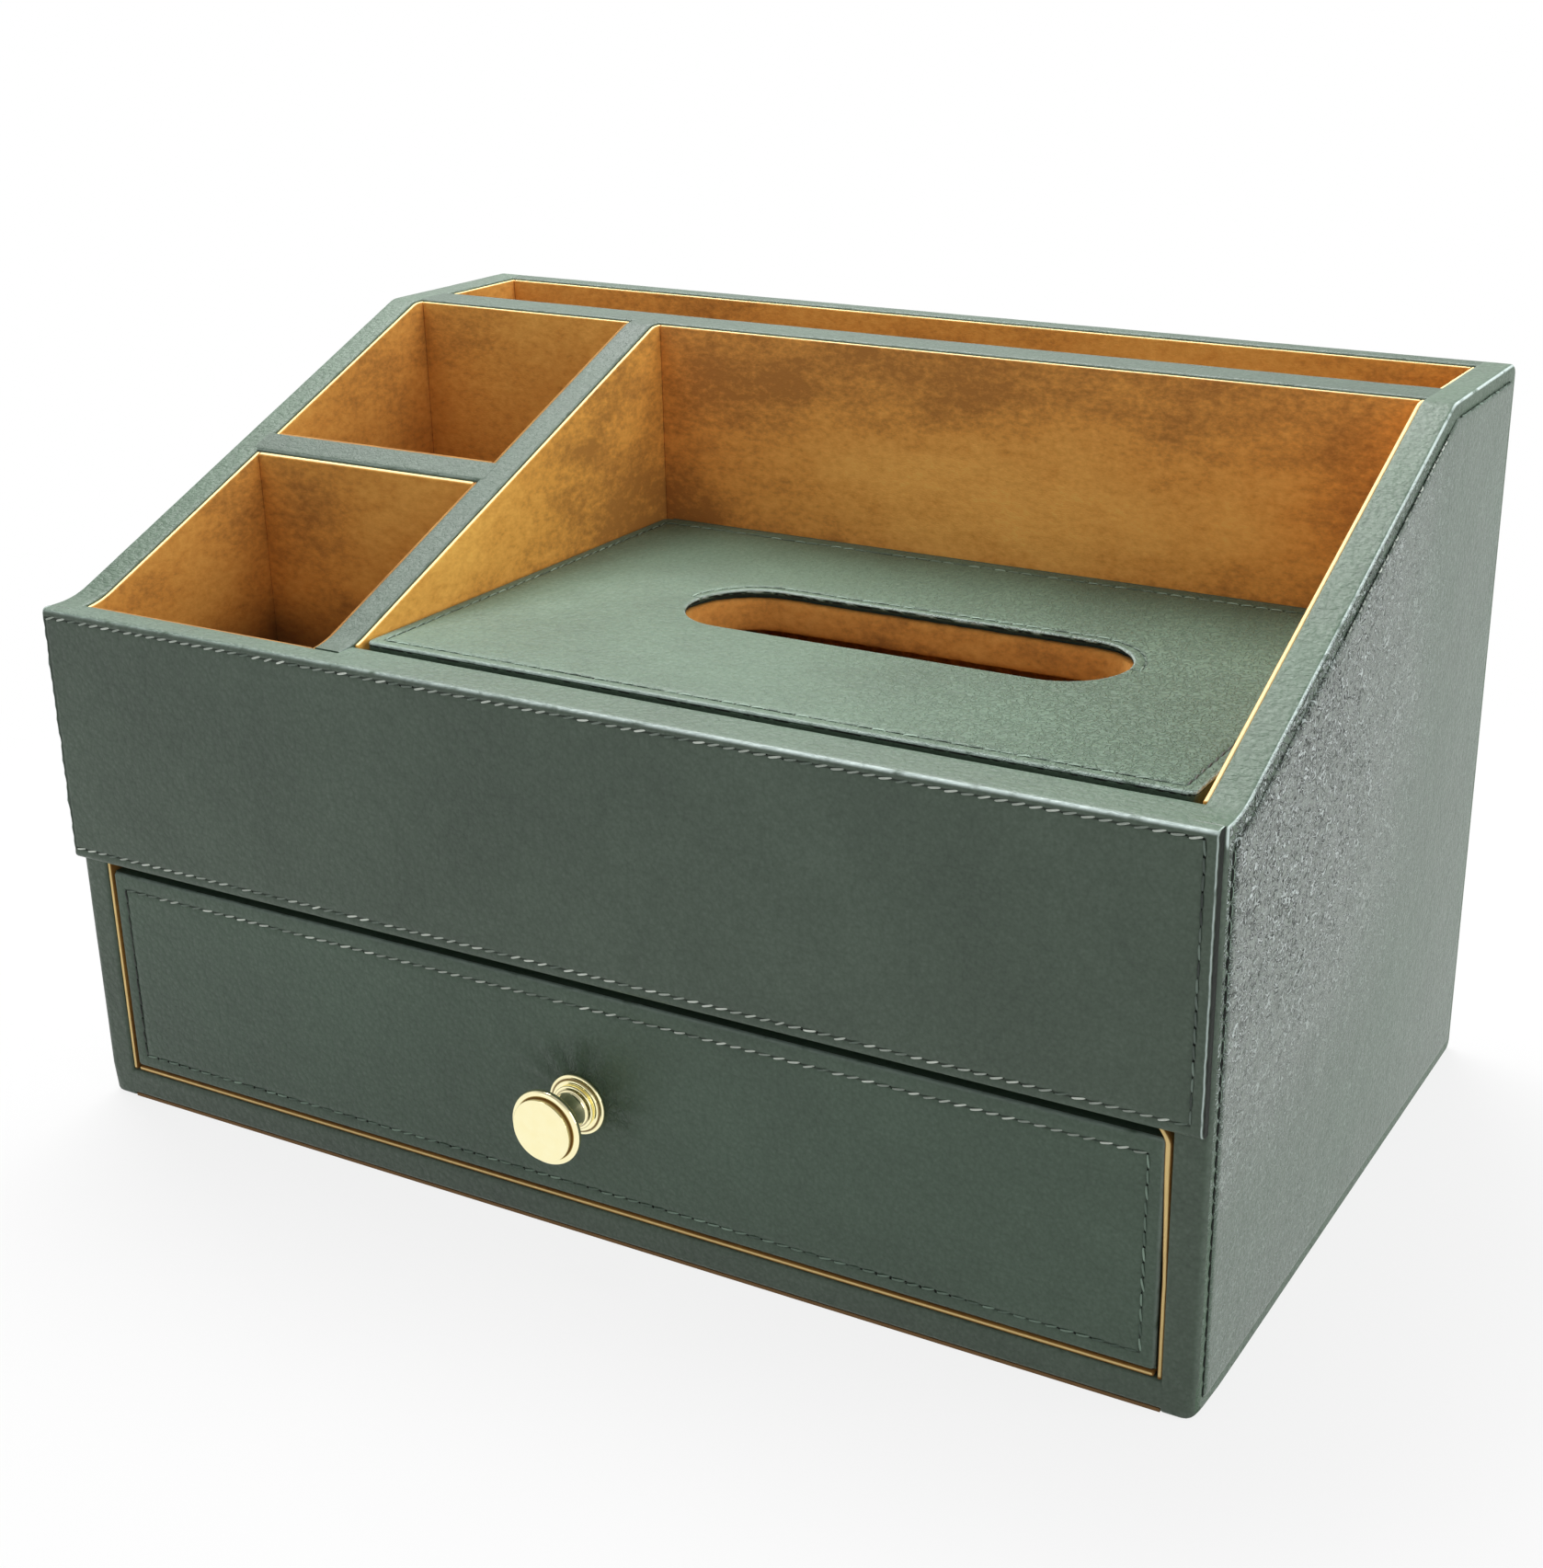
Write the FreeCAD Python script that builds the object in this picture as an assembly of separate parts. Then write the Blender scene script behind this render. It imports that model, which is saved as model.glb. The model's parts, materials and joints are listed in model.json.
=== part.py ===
import FreeCAD, Part
import math
import os
from FreeCAD import Vector

# Desk box with a lidded tissue bay, two small bins and a letter slot over one wide drawer.
# Every board is wrapped in leather and every bay is lined with suede-faced card.
# Millimetres. +X is to the right seen from the front, the front looks along -Y and +Z is up.
# The origin is the centre of the standing face.

# --- Case -------------------------------------------------------------------------------------
case_width = 301.2            # over the two side facings
case_depth = 188.6            # front edges of the sides to the outer face of the back facing
front_height = 131.5          # top of the front rim
rear_height = 184.5           # top of the level rear part
front_land = 8.0              # level top behind the front edge, before the slope
rear_land = 53.0              # level top in front of the back edge, after the slope
slope_foot_radius = 25.0      # hollow blend where the slope starts
slope_crest_radius = 7.0      # round blend where the slope ends
case_corner_radius = 3.0      # lower edges and rear top edge of the wrapped case
nose_radius = 1.0             # top front corner of the side boards, behind the fascia

side_board = 7.8
back_board = 7.5
base_board = 7.0
deck_board = 6.0              # roof of the drawer bay and floor of the upper bays
front_board = 4.5
facing = 0.6                  # leather sheet on the outside of the sides and the back
facing_margin = 3.8           # from the edge of the board to the edge of its facing
outer_edge_radius = 1.6       # outside edges of the side boards
rim_radius = 1.3              # inside edges of every wrapped rim
base_edge_radius = 1.0        # lower front edge of the base
underlay = 0.8                # sheet under the base
underlay_setback = 0.3        # behind the front edge of the base

# --- Fascia across the front, lapped over the front rim -----------------------------------------
fascia_projection = 3.0       # in front of the side boards
fascia_end_margin = 1.0       # short of the side facings at each end
fascia_cap = 1.2              # lap over the front board
fascia_edge_radius = 1.4

# --- Bays and dividers --------------------------------------------------------------------------
drawer_bay_height = 58.1      # over the bay's floor card
main_divider = 11.7
letter_slot = 30.5            # clear depth between the main divider and the back board
bin_width = 71.0              # clear width between the left side and the bay divider
bay_divider = 7.7
front_bin_depth = 63.5        # clear depth between the front board and the bin divider
bin_divider = 7.0
tissue_rail = 5.0             # second rail behind the front board, across the tissue bay
card = 1.1                    # lining card
card_drop = 0.6               # top edge of a card under the rim beside it
bay_card_setback = 0.5        # front edges of the drawer bay's cards behind the stiles
bay_card_gap = 0.8            # between the drawer bay's floor card and its side cards

# --- Lid over the tissue bay --------------------------------------------------------------------
lid_rise = 1.0                # lid's top over the front rim
lid_front_gap = 1.5
lid_left_gap = 0.9
lid_right_gap = 2.0
lid_board = 5.0
lid_facing = 1.0
lid_lining = 1.0
lid_corner_radius = 2.0
lid_edge_radius = 0.8
slot_length = 112.0
slot_width = 31.0
slot_offset_x = 4.2           # slot's centre to the right of the lid's centre
slot_offset_y = 1.0           # slot's centre behind the lid's centre
slot_edge_radius = 0.5
collar_wall = 3.0             # padded suede collar inside the slot
collar_inset = 0.2            # collar's throat outside the slot's edge in the leather
collar_drop = 1.5             # collar's top under the leather
collar_height = 8.2
collar_roll_radius = 1.3
hinge_cloth = 0.7
hinge_fold_gap = 0.3          # between the two leaves of the folded hinge strip
hinge_top_gap = 0.2           # leaves' top edge under the lid's top
ledge_depth = 6.0
ledge_height = 6.0
ledge_gap = 0.3               # under the lid's lining

# --- Drawer -------------------------------------------------------------------------------------
drawer_front_setback = 0.5    # behind the stiles
drawer_front_board = 7.0
drawer_front_facing = 1.0
drawer_front_radius = 0.8
drawer_side_gap = 0.6         # drawer front to the bay's side cards
drawer_floor_gap = 0.4        # drawer front to the bay's floor card
drawer_head_gap = 3.6         # drawer front to the deck
drawer_back_gap = 0.4         # drawer's back to the back board
drawer_box_inset = 0.4        # drawer's sides inside the ends of its front
drawer_wall = 5.0
drawer_wall_top_radius = 1.2
drawer_wall_height = 46.0
drawer_bottom = 2.5
drawer_bottom_rise = 2.5      # under the drawer's bottom sheet
groove_depth = 2.0            # for the bottom sheet, in the walls round it
groove_clearance = 0.1

# --- Knob and its screw -------------------------------------------------------------------------
knob_offset_x = -1.0
knob_height = 34.5            # axis over the standing face
knob_head_radius = 9.15
knob_disc_radius = 7.9        # flat front disc inside the rolled rim
knob_groove_width = 0.45
knob_groove_depth = 0.6
knob_head_thickness = 3.0
knob_back_roll = 1.2          # rounding of the head's back edge
knob_waist_radius = 3.3
knob_neck_flare = 0.9         # neck's radius at the head over its radius at the foot ring
knob_collar_radius = 5.3
knob_collar_height = 1.2
knob_projection = 15.0        # over the drawer's face
knob_dome = 0.4
backplate_radius = 7.5
backplate_step_radius = 6.3
backplate_rim_height = 1.0
backplate_height = 1.7
screw_radius = 2.0
screw_clearance = 0.25        # round the screw in the plates that it passes through
screw_fit = 0.05              # round the screw in the knob's own hole
knob_bore_depth = 8.0
screw_engagement = 7.0
screw_head_radius = 3.6
screw_head_height = 2.2
screw_slot_width = 0.9
screw_slot_depth = 1.0
washer_radius = 4.8
washer_thickness = 0.8

# --- Places worked out from the sizes -----------------------------------------------------------
left_x = -case_width / 2
right_x = case_width / 2
front_y = -case_depth / 2
rear_y = case_depth / 2
board_left_x = left_x + facing
board_right_x = right_x - facing
inner_left_x = board_left_x + side_board
inner_right_x = board_right_x - side_board
board_rear_y = rear_y - facing
inner_rear_y = board_rear_y - back_board
base_top_z = underlay + base_board
bay_floor_z = base_top_z + card
deck_z = bay_floor_z + drawer_bay_height
deck_top_z = deck_z + deck_board
rim_z = front_height - fascia_cap
front_board_y = front_y + front_board
main_divider_rear_y = inner_rear_y - letter_slot
main_divider_y = main_divider_rear_y - main_divider
bay_divider_x = inner_left_x + bin_width
bay_divider_right_x = bay_divider_x + bay_divider
bin_divider_y = front_board_y + front_bin_depth
bin_divider_rear_y = bin_divider_y + bin_divider
tissue_front_y = front_board_y + tissue_rail

lid_top_z = front_height + lid_rise
lid_facing_z = lid_top_z - lid_facing
lid_board_z = lid_facing_z - lid_board
lid_z = lid_board_z - lid_lining
lid_left_x = bay_divider_right_x + card + lid_left_gap
lid_right_x = inner_right_x - card - lid_right_gap
lid_front_y = tissue_front_y + lid_front_gap
tissue_rear_card_y = main_divider_y - card
lid_rear_y = tissue_rear_card_y - 2 * hinge_cloth - hinge_fold_gap
slot_x = (lid_left_x + lid_right_x) / 2 + slot_offset_x
slot_y = (lid_front_y + lid_rear_y) / 2 + slot_offset_y
ledge_z = lid_z - ledge_gap - ledge_height

drawer_half_width = inner_right_x - card - drawer_side_gap
drawer_face_y = front_y + drawer_front_setback
drawer_board_y = drawer_face_y + drawer_front_facing
drawer_board_rear_y = drawer_board_y + drawer_front_board
drawer_z = bay_floor_z + drawer_floor_gap
drawer_top_z = deck_z - drawer_head_gap
drawer_rear_y = inner_rear_y - drawer_back_gap
drawer_wall_x = drawer_half_width - drawer_box_inset
drawer_bottom_z = drawer_z + drawer_bottom_rise
drawer_bottom_top_z = drawer_bottom_z + drawer_bottom

far = 2 * (case_width + case_depth + rear_height)   # beyond the case in every direction
same_place = 1e-4                                   # places closer than this are one
hairline = 1e-3                                     # edges shorter than this are seams of a surface
long_edge = 1.0                                     # edges longer than this run along a board
roll_share = 0.85                                   # of a sheet, at most, rounded at one edge
half_share = 0.45                                   # of a wall, at most, rounded at each edge
arc_bow = 1 - math.sqrt(0.5)                        # of its radius, from a quarter arc to its corner
pieces = {}


# --- Shapes -------------------------------------------------------------------------------------
def box(x0, x1, y0, y1, z0, z1):
    """A block between two values on each axis."""
    return Part.makeBox(x1 - x0, y1 - y0, z1 - z0, Vector(x0, y0, z0))


def single(shape):
    """The one solid left by a boolean operation, without the seams between flush faces."""
    return shape.removeSplitter().Solids[0]


def rounded_outline(corners):
    """A closed wire through corners, each a point with the radius that rounds it."""
    points = [point for point, radius in corners]
    edges = []
    entries = []
    for i, (corner, radius) in enumerate(corners):
        before = (points[i - 1] - corner).normalize()
        after = (points[(i + 1) % len(points)] - corner).normalize()
        if radius == 0:
            entries.append((corner, corner, None))
            continue
        half_angle = before.getAngle(after) / 2
        reach = radius / math.tan(half_angle)
        bisector = (before + after).normalize()
        middle = corner + bisector * (radius / math.sin(half_angle) - radius)
        entries.append((corner + before * reach, corner + after * reach, middle))
    for i, (start, end, middle) in enumerate(entries):
        if middle is not None:
            edges.append(Part.Arc(start, middle, end).toShape())
        edges.append(Part.LineSegment(end, entries[(i + 1) % len(entries)][0]).toShape())
    return Part.Wire(edges)


def rounded_plate(x0, x1, y0, y1, z0, z1, radius):
    """A level plate with round corners in plan."""
    corners = [(x0, y0), (x1, y0), (x1, y1), (x0, y1)]
    wire = rounded_outline([(Vector(x, y, z0), radius) for x, y in corners])
    return Part.Face(wire).extrude(Vector(0, 0, z1 - z0))


def stadium(length, width, z0, z1):
    """A prism with round ends, over the centre of the lid's slot."""
    radius = width / 2
    run = length / 2 - radius
    left, right = slot_x - run, slot_x + run
    edges = [
        Part.LineSegment(Vector(left, slot_y - radius, z0), Vector(right, slot_y - radius, z0)),
        Part.Arc(Vector(right, slot_y - radius, z0), Vector(right + radius, slot_y, z0),
                 Vector(right, slot_y + radius, z0)),
        Part.LineSegment(Vector(right, slot_y + radius, z0), Vector(left, slot_y + radius, z0)),
        Part.Arc(Vector(left, slot_y + radius, z0), Vector(left - radius, slot_y, z0),
                 Vector(left, slot_y - radius, z0)),
    ]
    return Part.Face(Part.Wire([edge.toShape() for edge in edges])).extrude(Vector(0, 0, z1 - z0))


def round_where(shape, radius, picks):
    """Rounds the edges for which picks, given an edge's bounding box, is true."""
    return shape.makeFillet(radius, [edge for edge in shape.Edges if picks(edge.BoundBox)])


def near(a, b):
    return abs(a - b) < same_place


def at_x(x):
    """Picks the edges that lie in one upright plane across the case."""
    return lambda bounds: near(bounds.XMin, x) and near(bounds.XMax, x)


def level_at(z):
    """Picks the edges that lie level at one height."""
    return lambda bounds: near(bounds.ZMin, z) and near(bounds.ZMax, z)


def side_outline():
    """Outline of a side board: level at the front, a slope, and level at the back."""
    corners = [
        (front_y, 0, case_corner_radius),
        (front_y, front_height, nose_radius),
        (front_y + front_land, front_height, slope_foot_radius),
        (board_rear_y - rear_land, rear_height, slope_crest_radius),
        (board_rear_y, rear_height, case_corner_radius),
        (board_rear_y, 0, case_corner_radius),
    ]
    return rounded_outline([(Vector(0, y, z), radius) for y, z, radius in corners])


def under_profile(shape, drop=0.0):
    """Cuts a shape to the top line that the side boards have, lowered by drop."""
    corners = [
        (-far, -far, 0),
        (-far, front_height, 0),
        (front_y + front_land, front_height, slope_foot_radius),
        (board_rear_y - rear_land, rear_height, slope_crest_radius),
        (far, rear_height, 0),
        (far, -far, 0),
    ]
    wire = rounded_outline([(Vector(-far, y, z - drop), radius) for y, z, radius in corners])
    return single(shape.common(Part.Face(wire).extrude(Vector(2 * far, 0, 0))))


def lap(shape, *neighbours):
    """Trims a board's covering where it laps into the rounded edges of its neighbours."""
    for neighbour in neighbours:
        shape = shape.cut(pieces[neighbour], same_place)
    return single(shape)


# --- Case boards --------------------------------------------------------------------------------
def side_boards():
    faces = {"left": (board_left_x, inner_left_x), "right": (board_right_x, inner_right_x)}
    for side, (outer_x, inner_x) in faces.items():
        blank = Part.Face(side_outline()).extrude(Vector(side_board, 0, 0))
        blank.translate(Vector(min(outer_x, inner_x), 0, 0))
        blank = round_where(blank, outer_edge_radius, at_x(outer_x))
        pieces[side + "_side_board"] = round_where(blank, rim_radius, at_x(inner_x))


def side_facings():
    """Leather sheets that follow the side boards' outline at an even margin."""
    for side, board_x, out in (("left", board_left_x, -1), ("right", board_right_x, 1)):
        outline = side_outline().makeOffset2D(-facing_margin)
        sheet = Part.Face(outline).extrude(Vector(out * facing, 0, 0))
        sheet.translate(Vector(board_x, 0, 0))
        pieces[side + "_side_facing"] = round_where(sheet, facing / 2, at_x(board_x + out * facing))


def back_wall():
    board = box(inner_left_x - rim_radius, inner_right_x + rim_radius, inner_rear_y, board_rear_y,
                0, rear_height)
    board = round_where(board, case_corner_radius,
                        lambda b: near(b.YMin, board_rear_y) and b.XLength > long_edge)
    board = round_where(board, rim_radius,
                        lambda b: near(b.YMax, inner_rear_y) and near(b.ZMin, rear_height))
    pieces["back_board"] = lap(board, "left_side_board", "right_side_board")
    margin = facing_margin
    sheet = box(board_left_x + margin, board_right_x - margin, board_rear_y, rear_y,
                margin, rear_height - margin)
    pieces["back_facing"] = round_where(sheet, facing / 2, lambda b: near(b.YMin, rear_y))


def base():
    board = box(inner_left_x - rim_radius, inner_right_x + rim_radius, front_y, inner_rear_y,
                underlay, base_top_z)
    board = round_where(board, base_edge_radius, lambda b: near(b.YMax, front_y) and near(b.ZMax, underlay))
    board = round_where(board, rim_radius, lambda b: near(b.YMax, front_y) and near(b.ZMin, base_top_z))
    pieces["base_board"] = lap(board, "left_side_board", "right_side_board")
    pieces["base_underlay"] = box(inner_left_x, inner_right_x, front_y + underlay_setback, inner_rear_y,
                                  0, underlay)


def deck_and_front():
    pieces["deck_board"] = box(inner_left_x, inner_right_x, front_board_y, inner_rear_y,
                               deck_z, deck_top_z)
    pieces["front_board"] = box(inner_left_x, inner_right_x, front_y, front_board_y, deck_z, rim_z)
    pieces["tissue_front_rail"] = box(bay_divider_right_x, inner_right_x, front_board_y, tissue_front_y,
                                      deck_top_z, rim_z)


def front_fascia():
    """A stitched board that hangs in front of the case and laps back over the front rim.

    The lap is narrow along the bins and wider along the tissue bay, where it covers two rails."""
    fascia_y = front_y - fascia_projection
    end_x = right_x - fascia_end_margin
    plate = box(-end_x, end_x, fascia_y, front_y, deck_z, front_height)
    plate = round_where(plate, fascia_edge_radius, lambda b: near(b.YMax, fascia_y))
    lap_left_x = inner_left_x - rim_radius
    lap_right_x = inner_right_x + rim_radius
    plan = [
        (lap_left_x, front_y), (lap_right_x, front_y), (lap_right_x, tissue_front_y),
        (bay_divider_right_x, tissue_front_y), (bay_divider_right_x, front_board_y),
        (lap_left_x, front_board_y),
    ]
    cap = Part.Face(rounded_outline([(Vector(x, y, rim_z), 0) for x, y in plan]))
    cap = cap.extrude(Vector(0, 0, fascia_cap))
    cap_radius = min(rim_radius, roll_share * fascia_cap)
    cap = round_where(cap, cap_radius,
                      lambda b: near(b.ZMin, front_height) and b.YMin > front_y + hairline)
    corner_fill = box(-end_x, end_x, front_y, front_y + nose_radius,
                      front_height - nose_radius, front_height)
    end_fill = corner_fill.cut(box(inner_left_x, inner_right_x, -far, far, 0, far))
    fascia = plate.fuse(cap).fuse(end_fill)
    pieces["front_fascia"] = lap(fascia, "left_side_board", "right_side_board")


# --- Dividers -----------------------------------------------------------------------------------
def dividers():
    top = round_where(
        box(inner_left_x - rim_radius, inner_right_x + rim_radius, main_divider_y, main_divider_rear_y,
            deck_top_z, rear_height),
        rim_radius, lambda b: near(b.ZMin, rear_height) and b.XLength > long_edge)
    pieces["main_divider"] = lap(top, "left_side_board", "right_side_board")

    long_wall = under_profile(box(bay_divider_x, bay_divider_right_x, front_board_y,
                                  main_divider_y + rim_radius, deck_top_z, rear_height))
    long_wall = round_where(long_wall, rim_radius, lambda b: b.XLength < hairline
                            and b.YLength > hairline and b.ZMin > rim_z)
    pieces["bay_divider"] = lap(long_wall, "main_divider")

    cross_wall = under_profile(box(inner_left_x - rim_radius, bay_divider_x + rim_radius, bin_divider_y,
                                   bin_divider_rear_y, deck_top_z, rear_height))
    cross_wall = round_where(cross_wall, rim_radius, lambda b: b.XLength > long_edge and b.ZMin > rim_z)
    pieces["bin_divider"] = lap(cross_wall, "left_side_board", "bay_divider")


# --- Lining cards -------------------------------------------------------------------------------
def line_bay(bay, x0, x1, y0, y1, front_card_top=rear_height):
    """Lines one upper bay: a floor card, two end cards on it and two cards between those."""
    floor_z = deck_top_z + card
    cards = {
        "left": box(x0, x0 + card, y0, y1, floor_z, rear_height),
        "right": box(x1 - card, x1, y0, y1, floor_z, rear_height),
        "front": box(x0 + card, x1 - card, y0, y0 + card, floor_z, front_card_top),
        "rear": box(x0 + card, x1 - card, y1 - card, y1, floor_z, rear_height),
    }
    pieces[bay + "_floor_lining"] = box(x0, x1, y0, y1, deck_top_z, floor_z)
    for wall, blank in cards.items():
        pieces[bay + "_" + wall + "_lining"] = under_profile(blank, card_drop)


def upper_linings():
    line_bay("front_bin", inner_left_x, bay_divider_x, front_board_y, bin_divider_y)
    line_bay("rear_bin", inner_left_x, bay_divider_x, bin_divider_rear_y, main_divider_y)
    line_bay("tissue_bay", bay_divider_right_x, inner_right_x, tissue_front_y, main_divider_y,
             lid_z - ledge_gap)
    line_bay("letter_slot", inner_left_x, inner_right_x, main_divider_rear_y, inner_rear_y)


def drawer_bay_linings():
    edge_y = front_y + bay_card_setback
    top_z = deck_z - card_drop
    pieces["drawer_bay_left_lining"] = box(inner_left_x, inner_left_x + card, edge_y, inner_rear_y,
                                           base_top_z, top_z)
    pieces["drawer_bay_right_lining"] = box(inner_right_x - card, inner_right_x, edge_y, inner_rear_y,
                                            base_top_z, top_z)
    side = card + bay_card_gap
    pieces["drawer_bay_floor_lining"] = box(inner_left_x + side, inner_right_x - side, edge_y,
                                            inner_rear_y, base_top_z, bay_floor_z)


# --- Lid ----------------------------------------------------------------------------------------
def lid():
    """A board with a leather top and a suede card below, round a padded slot for the tissues."""
    throat_length = slot_length + 2 * collar_inset
    throat_width = slot_width + 2 * collar_inset
    hole_length = throat_length + 2 * collar_wall
    hole_width = throat_width + 2 * collar_wall
    plan = (lid_left_x, lid_right_x, lid_front_y, lid_rear_y)

    board = rounded_plate(*plan, lid_board_z, lid_facing_z, lid_corner_radius)
    pieces["lid_board"] = single(board.cut(stadium(hole_length, hole_width, lid_board_z, lid_facing_z)))

    leather = rounded_plate(*plan, lid_facing_z, lid_top_z, lid_corner_radius)
    leather = round_where(leather, min(lid_edge_radius, roll_share * lid_facing), level_at(lid_top_z))
    leather = single(leather.cut(stadium(slot_length, slot_width, lid_facing_z, lid_top_z)))
    pieces["lid_facing"] = round_where(
        leather, min(slot_edge_radius, half_share * lid_facing),
        lambda b: level_at(lid_top_z)(b) and abs(b.XMin - slot_x) < slot_length / 2 + hairline
        and abs(b.YMin - slot_y) < slot_width / 2 + hairline)

    lining = rounded_plate(*plan, lid_z, lid_board_z, lid_corner_radius)
    pieces["lid_lining"] = single(lining.cut(stadium(hole_length, hole_width, lid_z, lid_board_z)))

    collar_top_z = lid_facing_z - collar_drop
    collar_z = collar_top_z - collar_height
    ring = stadium(hole_length, hole_width, collar_z, collar_top_z)
    ring = single(ring.cut(stadium(throat_length, throat_width, collar_z, collar_top_z)))
    pieces["slot_collar"] = round_where(ring, min(collar_roll_radius, half_share * collar_wall),
                                        lambda b: level_at(collar_top_z)(b) or level_at(collar_z)(b))


def lid_hinge():
    """Folded hinge strip: one leaf on the lid's rear edge, one on the card of the main divider."""
    top_z = lid_top_z - hinge_top_gap
    pieces["hinge_lid_leaf"] = box(lid_left_x + lid_corner_radius, lid_right_x - lid_corner_radius,
                                   lid_rear_y, lid_rear_y + hinge_cloth, lid_board_z, top_z)
    pieces["hinge_wall_leaf"] = box(lid_left_x + lid_corner_radius, lid_right_x - lid_corner_radius,
                                    tissue_rear_card_y - hinge_cloth, tissue_rear_card_y,
                                    ledge_z + ledge_height, top_z)


def lid_ledges():
    left, right = bay_divider_right_x + card, inner_right_x - card
    front_card_y = tissue_front_y + card
    pieces["lid_front_ledge"] = box(left, right, front_card_y, front_card_y + ledge_depth,
                                    ledge_z, ledge_z + ledge_height)
    pieces["lid_rear_ledge"] = box(left, right, tissue_rear_card_y - ledge_depth, tissue_rear_card_y,
                                   ledge_z, ledge_z + ledge_height)


# --- Drawer -------------------------------------------------------------------------------------
def knob_axis_cylinder(radius, y0, y1):
    """A round bar or hole on the knob's axis, between two depths."""
    start = Vector(knob_offset_x, y0, knob_height)
    return Part.makeCylinder(radius, y1 - y0, start, Vector(0, 1, 0))


def drawer_boards():
    hole_radius = screw_radius + screw_clearance
    screw_hole = knob_axis_cylinder(hole_radius, -far, far)
    half = drawer_half_width
    groove = box(-far, far, -far, far, drawer_bottom_z - groove_clearance,
                 drawer_bottom_top_z + groove_clearance)

    front = box(-half, half, drawer_board_y, drawer_board_rear_y, drawer_z, drawer_top_z)
    inner_x = drawer_wall_x - drawer_wall
    recess = box(-inner_x - groove_depth, inner_x + groove_depth, drawer_board_rear_y - groove_depth,
                 drawer_rear_y - drawer_wall + groove_depth, -far, far).common(groove)
    pieces["drawer_front_board"] = single(front.cut(screw_hole).cut(recess))

    leather = box(-half, half, drawer_face_y, drawer_board_y, drawer_z, drawer_top_z)
    leather = round_where(leather, min(drawer_front_radius, roll_share * drawer_front_facing),
                          lambda b: near(b.YMax, drawer_face_y))
    pieces["drawer_front_facing"] = single(leather.cut(screw_hole))

    wall_top_z = drawer_z + drawer_wall_height
    for side, x in (("left", -drawer_wall_x), ("right", drawer_wall_x - drawer_wall)):
        wall = box(x, x + drawer_wall, drawer_board_rear_y, drawer_rear_y, drawer_z, wall_top_z)
        wall = round_where(wall, drawer_wall_top_radius,
                           lambda b: near(b.ZMin, wall_top_z) and b.YLength > drawer_wall)
        pieces["drawer_" + side + "_side"] = single(wall.cut(recess))

    back = box(-inner_x, inner_x, drawer_rear_y - drawer_wall, drawer_rear_y, drawer_z, wall_top_z)
    back = round_where(back, drawer_wall_top_radius,
                       lambda b: near(b.ZMin, wall_top_z) and b.XLength > drawer_wall)
    pieces["drawer_back"] = single(back.cut(recess))

    reach = groove_depth - groove_clearance
    pieces["drawer_bottom"] = box(-inner_x - reach, inner_x + reach, drawer_board_rear_y - reach,
                                  drawer_rear_y - drawer_wall + reach, drawer_bottom_z, drawer_bottom_top_z)
    pieces["drawer_floor_lining"] = box(-inner_x, inner_x, drawer_board_rear_y, drawer_rear_y - drawer_wall,
                                        drawer_bottom_top_z + groove_clearance,
                                        drawer_bottom_top_z + groove_clearance + card)
    lining = box(-inner_x, inner_x, drawer_board_rear_y, drawer_board_rear_y + card,
                 drawer_bottom_top_z + groove_clearance + card, drawer_top_z - drawer_front_radius)
    pieces["drawer_front_lining"] = single(lining.cut(screw_hole))


# --- Knob ---------------------------------------------------------------------------------------
def turned(profile):
    """Turns a closed profile of (radius, distance out from the drawer's face) about the knob's axis.

    A step with three numbers pairs is an arc: the point it passes through, then its end."""
    def place(radius, out):
        return Vector(knob_offset_x + radius, drawer_face_y - out, knob_height)

    edges = []
    here = profile[0]
    for step in profile[1:] + [profile[0]]:
        if len(step) == 4:
            end = step[2:]
            edges.append(Part.Arc(place(*here), place(*step[:2]), place(*end)).toShape())
        else:
            end = step
            edges.append(Part.LineSegment(place(*here), place(*end)).toShape())
        here = end
    return Part.Face(Part.Wire(edges)).revolve(
        Vector(knob_offset_x, 0, knob_height), Vector(0, 1, 0), 360)


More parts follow.
